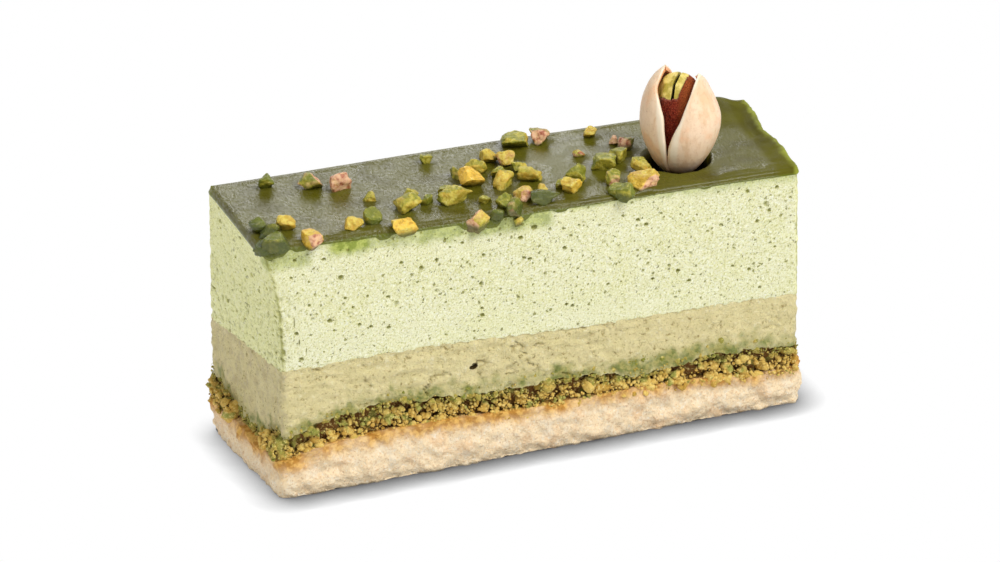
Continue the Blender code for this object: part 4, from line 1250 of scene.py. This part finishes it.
class CAKE_OT_shells(bpy.types.Operator):
    """Builds the two halves of the open shell"""
    bl_idname = "cake.shells"
    bl_label = "Nut shell"

    # How far the front rims stray from the middle, at shares of the length, and how the tips differ.
    rim_shifts = {"left": ((0.0, 0.15, 0.34, 0.6, 0.7, 0.85, 1.0), (0.0, 0.0, 0.6, 0.8, 0.2, -0.8, 0.0)),
                  "right": ((0.0, 0.08, 0.3, 0.45, 0.6, 0.85, 1.0), (0.0, -1.2, -1.3, -0.9, -0.1, 0.25, 0.0))}
    tip_narrowing = {"left": 0.0, "right": 0.3}
    tip_lowering = {"left": 0.0, "right": 0.6}
    # How far each half stands from the middle plane.
    parted = 0.15

    def execute(self, context):
        material = shell_finish(context.scene.cake_colors.shell)
        for name, side in (("left", -1), ("right", 1)):
            self.half(name, side, material)
        return {"FINISHED"}

    def half(self, name, side, material):
        """A sheet bent to half a shell, given its wall and smoothed round the rim."""
        piece = add_shape("grid", x_subdivisions=18, y_subdivisions=30, size=2)
        piece.name = "shell_" + name
        for vert in piece.data.vertices:
            angle = vert.co.x * math.pi / 2
            share = (1 - math.cos((vert.co.y + 1) * math.pi / 2)) / 2
            half_width, half_depth = self.half_outline(name, share)
            shift = float(np.interp(share, *self.rim_shifts[name])) * max(0.0, -math.sin(angle)) ** 4
            vert.co = (side * (half_width * math.cos(angle) + self.parted) + shift,
                       half_depth * math.sin(angle), share * self.length_of(name, share))
        edit_selected(piece, "VERT", [True] * len(piece.data.vertices), bpy.ops.mesh.remove_doubles,
                      threshold=0.01)
        if sum(face.normal.x * side for face in piece.data.polygons) < 0:
            piece.data.flip_normals()
        apply_modifier(piece, "Wall", "SOLIDIFY", thickness=SHELL_WALL, offset=-1.0)
        apply_modifier(piece, "Round", "SUBSURF", levels=2, render_levels=2)
        ends, inners, rims = [], [], []
        for vert in piece.data.vertices:
            x, y, z = vert.co
            share = z / self.length_of(name, z / NUT_LENGTH)
            half_width, half_depth = self.half_outline(name, min(max(share, 0.02), 0.98))
            inwards = half_width * (1 - math.hypot(x / (half_width + self.parted), y / half_depth))
            inners.append(smooth_step(0.35, 0.65, inwards) * smooth_step(0.05, 0.2, share))
            ends.append(0.8 * smooth_step(0.14, 0.02, share + 0.05 * grain((x, y, z), 2.0)))
            rims.append(smooth_step(0.9, 0.4, abs(x)) * smooth_step(0.1, 0.3, share))
            vert.co += 0.05 * grain((x, y, z), 2.4, 3.0) * Vector((x, y, 0.0)).normalized()
        set_marks(piece, end=ends, inner=inners, rim=rims)
        turn = Matrix.Rotation(math.radians(SHELL_OPENING[name]), 4, "Y")
        piece.data.transform(nut_frame() @ turn)
        finish_piece(piece, material, nodes=["shell_" + name + "_half"])

    def half_outline(self, name, share):
        """Half width and half depth of one half at a share of its length."""
        half_width, half_depth = shell_profile(share)
        return half_width * (1 - self.tip_narrowing[name] * smooth_step(0.6, 0.9, share)), half_depth

    def length_of(self, name, share):
        return NUT_LENGTH - self.tip_lowering[name] * smooth_step(0.5, 1.0, share)


def shell_profile(share):
    """Half width and half depth of the shell at a share of its length, on a smooth curve."""
    rows = SHELL_PROFILE
    upper = next((i for i, row in enumerate(rows) if row[0] >= share and i), len(rows) - 1)
    before, start = rows[max(upper - 2, 0)], rows[upper - 1]
    end, after = rows[upper], rows[min(upper + 1, len(rows) - 1)]
    step = (share - start[0]) / (end[0] - start[0])
    values = []
    for axis in (1, 2):
        slope_in = (end[axis] - before[axis]) / (end[0] - before[0]) * (end[0] - start[0])
        slope_out = (after[axis] - start[axis]) / (after[0] - start[0]) * (end[0] - start[0])
        squared, cubed = step * step, step ** 3
        values.append((2 * cubed - 3 * squared + 1) * start[axis] + (cubed - 2 * squared + step) * slope_in
                      + (3 * squared - 2 * cubed) * end[axis] + (cubed - squared) * slope_out)
    return max(values[0], 0.0), max(values[1], 0.0)


def nut_frame():
    return Matrix.Translation(NUT_FOOT) @ Matrix.Rotation(math.radians(NUT_TURN), 4, "Z")


class CAKE_OT_kernel(bpy.types.Operator):
    """Builds the seed: two bare seed leaves on top and the wrinkled skin below"""
    bl_idname = "cake.kernel"
    bl_label = "Seed"

    # The height above the nut's foot from which the leaves are bare.
    bare_from = 15.0
    split_place = 0.2
    split_width = 0.6
    lean = -1.5
    widening = 0.4
    skin_wall = 0.16
    # Flat chips off the front of the two leaves: a place on each and the way it faces.
    chips = (((-1.2, -3.0, 15.4), (-0.1, -0.9, 0.42)), ((1.7, -2.8, 15.4), (0.35, -0.85, 0.35)),
             ((-2.6, -2.0, 15.4), (-0.7, -0.6, 0.4)), ((-1.0, -1.6, 17.4), (-0.2, -0.4, 0.9)),
             ((1.6, -1.6, 17.2), (0.4, -0.3, 0.9)))

    def execute(self, context):
        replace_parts(self.leaves(), "kernel")
        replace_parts(self.skin(context), "kernel")
        return {"FINISHED"}

    def seed_ball(self, name, segments, rings, grow):
        """A ball drawn out to the seed, blunter at its top than at its foot."""
        piece = add_shape("uv_sphere", segments=segments, ring_count=rings, radius=1.0)
        piece.name = name
        half_width, half_depth = KERNEL_SIZE[0] + self.widening + grow, KERNEL_SIZE[1] + grow
        for vert in piece.data.vertices:
            side, depth, up = vert.co
            around = math.hypot(side, depth)
            blunt = (1 - up ** 3) ** (1 / 3) / around if up > 0 and around > TINY else 1.0
            vert.co = (side * blunt * half_width, depth * blunt * half_depth,
                       KERNEL_FOOT + (up + 1) / 2 * KERNEL_LENGTH)
        return piece

    def stand_up(self, piece):
        """Brings a part of the seed to its place in the shell."""
        piece.data.transform(nut_frame() @ Matrix.Rotation(math.radians(self.lean), 4, "Y"))

    def leaves(self):
        piece = self.seed_ball("seed_leaves", 72, 60, -0.3)
        for vert in piece.data.vertices:
            vert.co += 0.1 * grain(vert.co, 1.8, 2.0) * Vector((vert.co.x, vert.co.y, 0.0)).normalized()
            for place, facing in self.chips:
                out = Vector(facing).normalized()
                over = (vert.co - Vector(place)).dot(out)
                if over > 0 and (vert.co.x - self.split_place) * place[0] > 0:
                    vert.co -= over * out
        cutter = add_shape("cube", size=1, location=(self.split_place, 0.0, self.bare_from + 4.6))
        cut_away(piece, stretch(cutter, (self.split_width, 20.0, 10.0)))
        self.stand_up(piece)
        return finish_piece(piece, leaf_finish(), smooth=35)

    def skin(self, context):
        piece = self.seed_ball("seed_skin", 110, 100, 0.0)
        torn = []
        for vert in piece.data.vertices:
            x, y, z = vert.co
            wrinkle = 0.18 * grain((x, y, 0.5 * z), 1.1, 3.0, 4)
            vert.co += wrinkle * Vector((x, y, 0.0)).normalized()
            covered = 4.0 * smooth_step(1.0, 2.2, x) + 2.5 * smooth_step(0.5, 2.5, y)
            torn.append(z - self.bare_from - covered - 0.6 * grain((x, y, z), 1.2, 8.0))
        edit_selected(piece, "VERT", [value > 0 for value in torn], bpy.ops.mesh.delete, type="VERT")
        set_marks(piece, edge=[smooth_step(-0.6, -0.1, value) for value in torn if value <= 0],
                  side=[0.8 * smooth_step(0.8, 2.4, vert.co.x) for vert in piece.data.vertices])
        apply_modifier(piece, "Thickness", "SOLIDIFY", thickness=self.skin_wall, offset=-1.0)
        self.stand_up(piece)
        return finish_piece(piece, skin_finish(context.scene.cake_colors.skin))


class CAKE_OT_stage(bpy.types.Operator):
    """Sets the white floor, the soft light and the camera"""
    bl_idname = "cake.stage"
    bl_label = "Stage"

    contact_reach = 5.3 * MM
    # The way in which the floor looks for the cake: up, and back so that its front is the darkest.
    shadow_aim = (0.0, 0.62, 0.78)
    darkest = 0.07
    # How much faster than in proportion the floor darkens.
    deepening = 1.25
    # The strengths of the surroundings to the left and to the right of the cake.
    world_strengths = (0.62, 0.6)
    light_aim = (0.0, 0.0, 0.025)

    def execute(self, context):
        scene = context.scene
        floor = add_shape("plane", size=6.0)
        floor.name = "floor"
        floor.data.materials.append(self.white_floor())
        floor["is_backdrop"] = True
        scene.world = self.soft_world()
        self.soft_box("key", (0.3, -0.5, 0.8), 0.45, 6.0)
        self.soft_box("sheen", (0.09, 0.37, 0.22), 0.15, 0.27)
        scene.view_settings.view_transform = "Standard"
        self.camera(scene)
        return {"FINISHED"}

    def white_floor(self):
        """Glowing white that lights the cake from below, with a painted shadow where the cake stands close
        by.
        """
        material = bpy.data.materials.new("white floor")
        material.use_nodes = True
        tree = material.node_tree
        tree.nodes.remove(tree.nodes["Principled BSDF"])
        aim = add_node(tree, "CombineXYZ", dict(zip("XYZ", self.shadow_aim))).outputs[0]
        near = add_node(tree, "AmbientOcclusion", {"Distance": self.contact_reach, "Normal": aim})
        share = near.outputs["AO"]
        for operation, value in (("POWER", self.deepening), ("MAXIMUM", self.darkest)):
            share = add_node(tree, "Math", {0: share, 1: value}, operation=operation).outputs[0]
        # The floor glows as light of its own and carries the painted contact shadow.
        glow = add_node(tree, "Emission", {"Strength": share}).outputs[0]
        feed(tree, tree.nodes["Material Output"].inputs["Surface"], glow)
        return material

    def soft_world(self):
        """White surroundings, a little brighter to the left of the cake than to its right."""
        world = bpy.data.worlds.new("soft studio")
        world.use_nodes = True
        tree = world.node_tree
        direction = add_node(tree, "TexCoord", {}).outputs["Generated"]
        sideways = add_node(tree, "SeparateXYZ", {0: direction}).outputs["X"]
        level = add_node(tree, "MapRange", {"Value": sideways, "From Min": -0.8, "From Max": 0.1,
                                            "To Min": self.world_strengths[0],
                                            "To Max": self.world_strengths[1]},
                         interpolation_type="SMOOTHSTEP").outputs["Result"]
        background = tree.nodes["Background"]
        feed(tree, background.inputs["Color"], (1.0, 1.0, 1.0))
        feed(tree, background.inputs["Strength"], level)
        return world

    def soft_box(self, name, place, size, power):
        """A square light that faces the cake."""
        lamp = bpy.data.lights.new(name, "AREA")
        lamp.size = size
        lamp.energy = power
        box = bpy.data.objects.new(name, lamp)
        bpy.context.scene.collection.objects.link(box)
        box.location = place
        towards = Vector(self.light_aim) - Vector(place)
        box.rotation_euler = towards.to_track_quat("-Z", "Y").to_euler()

    def camera(self, scene):
        """The camera at the picture's viewing angle."""
        azimuth, elevation = math.radians(CAMERA_AZIMUTH), math.radians(CAMERA_ELEVATION)
        level = math.cos(elevation)
        back = Vector((math.sin(azimuth) * level, -math.cos(azimuth) * level, math.sin(elevation)))
        lens = bpy.data.cameras.new("camera")
        lens.lens = CAMERA_LENS
        lens.sensor_width = CAMERA_SENSOR
        lens.clip_start = 0.01
        camera = bpy.data.objects.new("camera", lens)
        scene.collection.objects.link(camera)
        camera.location = MM * (Vector(CAMERA_TARGET) + CAMERA_DISTANCE * back)
        camera.rotation_euler = (math.pi / 2 - elevation, 0.0, azimuth)
        scene.camera = camera


BUILDERS = (CAKE_OT_stage, CAKE_OT_base, CAKE_OT_crumbs, CAKE_OT_cream, CAKE_OT_mousse, CAKE_OT_glaze,
            CAKE_OT_nibs, CAKE_OT_shells, CAKE_OT_kernel)


class CAKE_PT_panel(bpy.types.Panel):
    """Lists the settings and the builders in the 3D view's sidebar"""
    bl_idname = "CAKE_PT_panel"
    bl_label = "Layered pistachio cake"
    bl_space_type = "VIEW_3D"
    bl_region_type = "UI"
    bl_category = "Cake"

    def draw(self, context):
        for settings in (context.scene.cake_shape, context.scene.cake_colors):
            for name in settings.__annotations__:
                self.layout.prop(settings, name)
        for builder in BUILDERS:
            self.layout.operator(builder.bl_idname)


CLASSES = (CakeShapeSettings, CakeColorSettings, *BUILDERS, CAKE_PT_panel)


def register():
    for cls in CLASSES:
        bpy.utils.register_class(cls)
    bpy.types.Scene.cake_shape = bpy.props.PointerProperty(type=CakeShapeSettings)
    bpy.types.Scene.cake_colors = bpy.props.PointerProperty(type=CakeColorSettings)


def unregister():
    del bpy.types.Scene.cake_colors
    del bpy.types.Scene.cake_shape
    for cls in reversed(CLASSES):
        bpy.utils.unregister_class(cls)


def main():
    register()
    bpy.ops.cake.stage()
    bpy.ops.cake.base()
    bpy.ops.cake.crumbs()
    bpy.ops.cake.cream()
    bpy.ops.cake.mousse()
    bpy.ops.cake.glaze()
    bpy.ops.cake.nibs()
    bpy.ops.cake.shells()
    bpy.ops.cake.kernel()
    boxes = {"solids": SOLID_BOX, "looks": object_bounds()}
    {name: [list(corner) for corner in box] for name, box in boxes.items()}


if __name__ == "__main__":
    main()
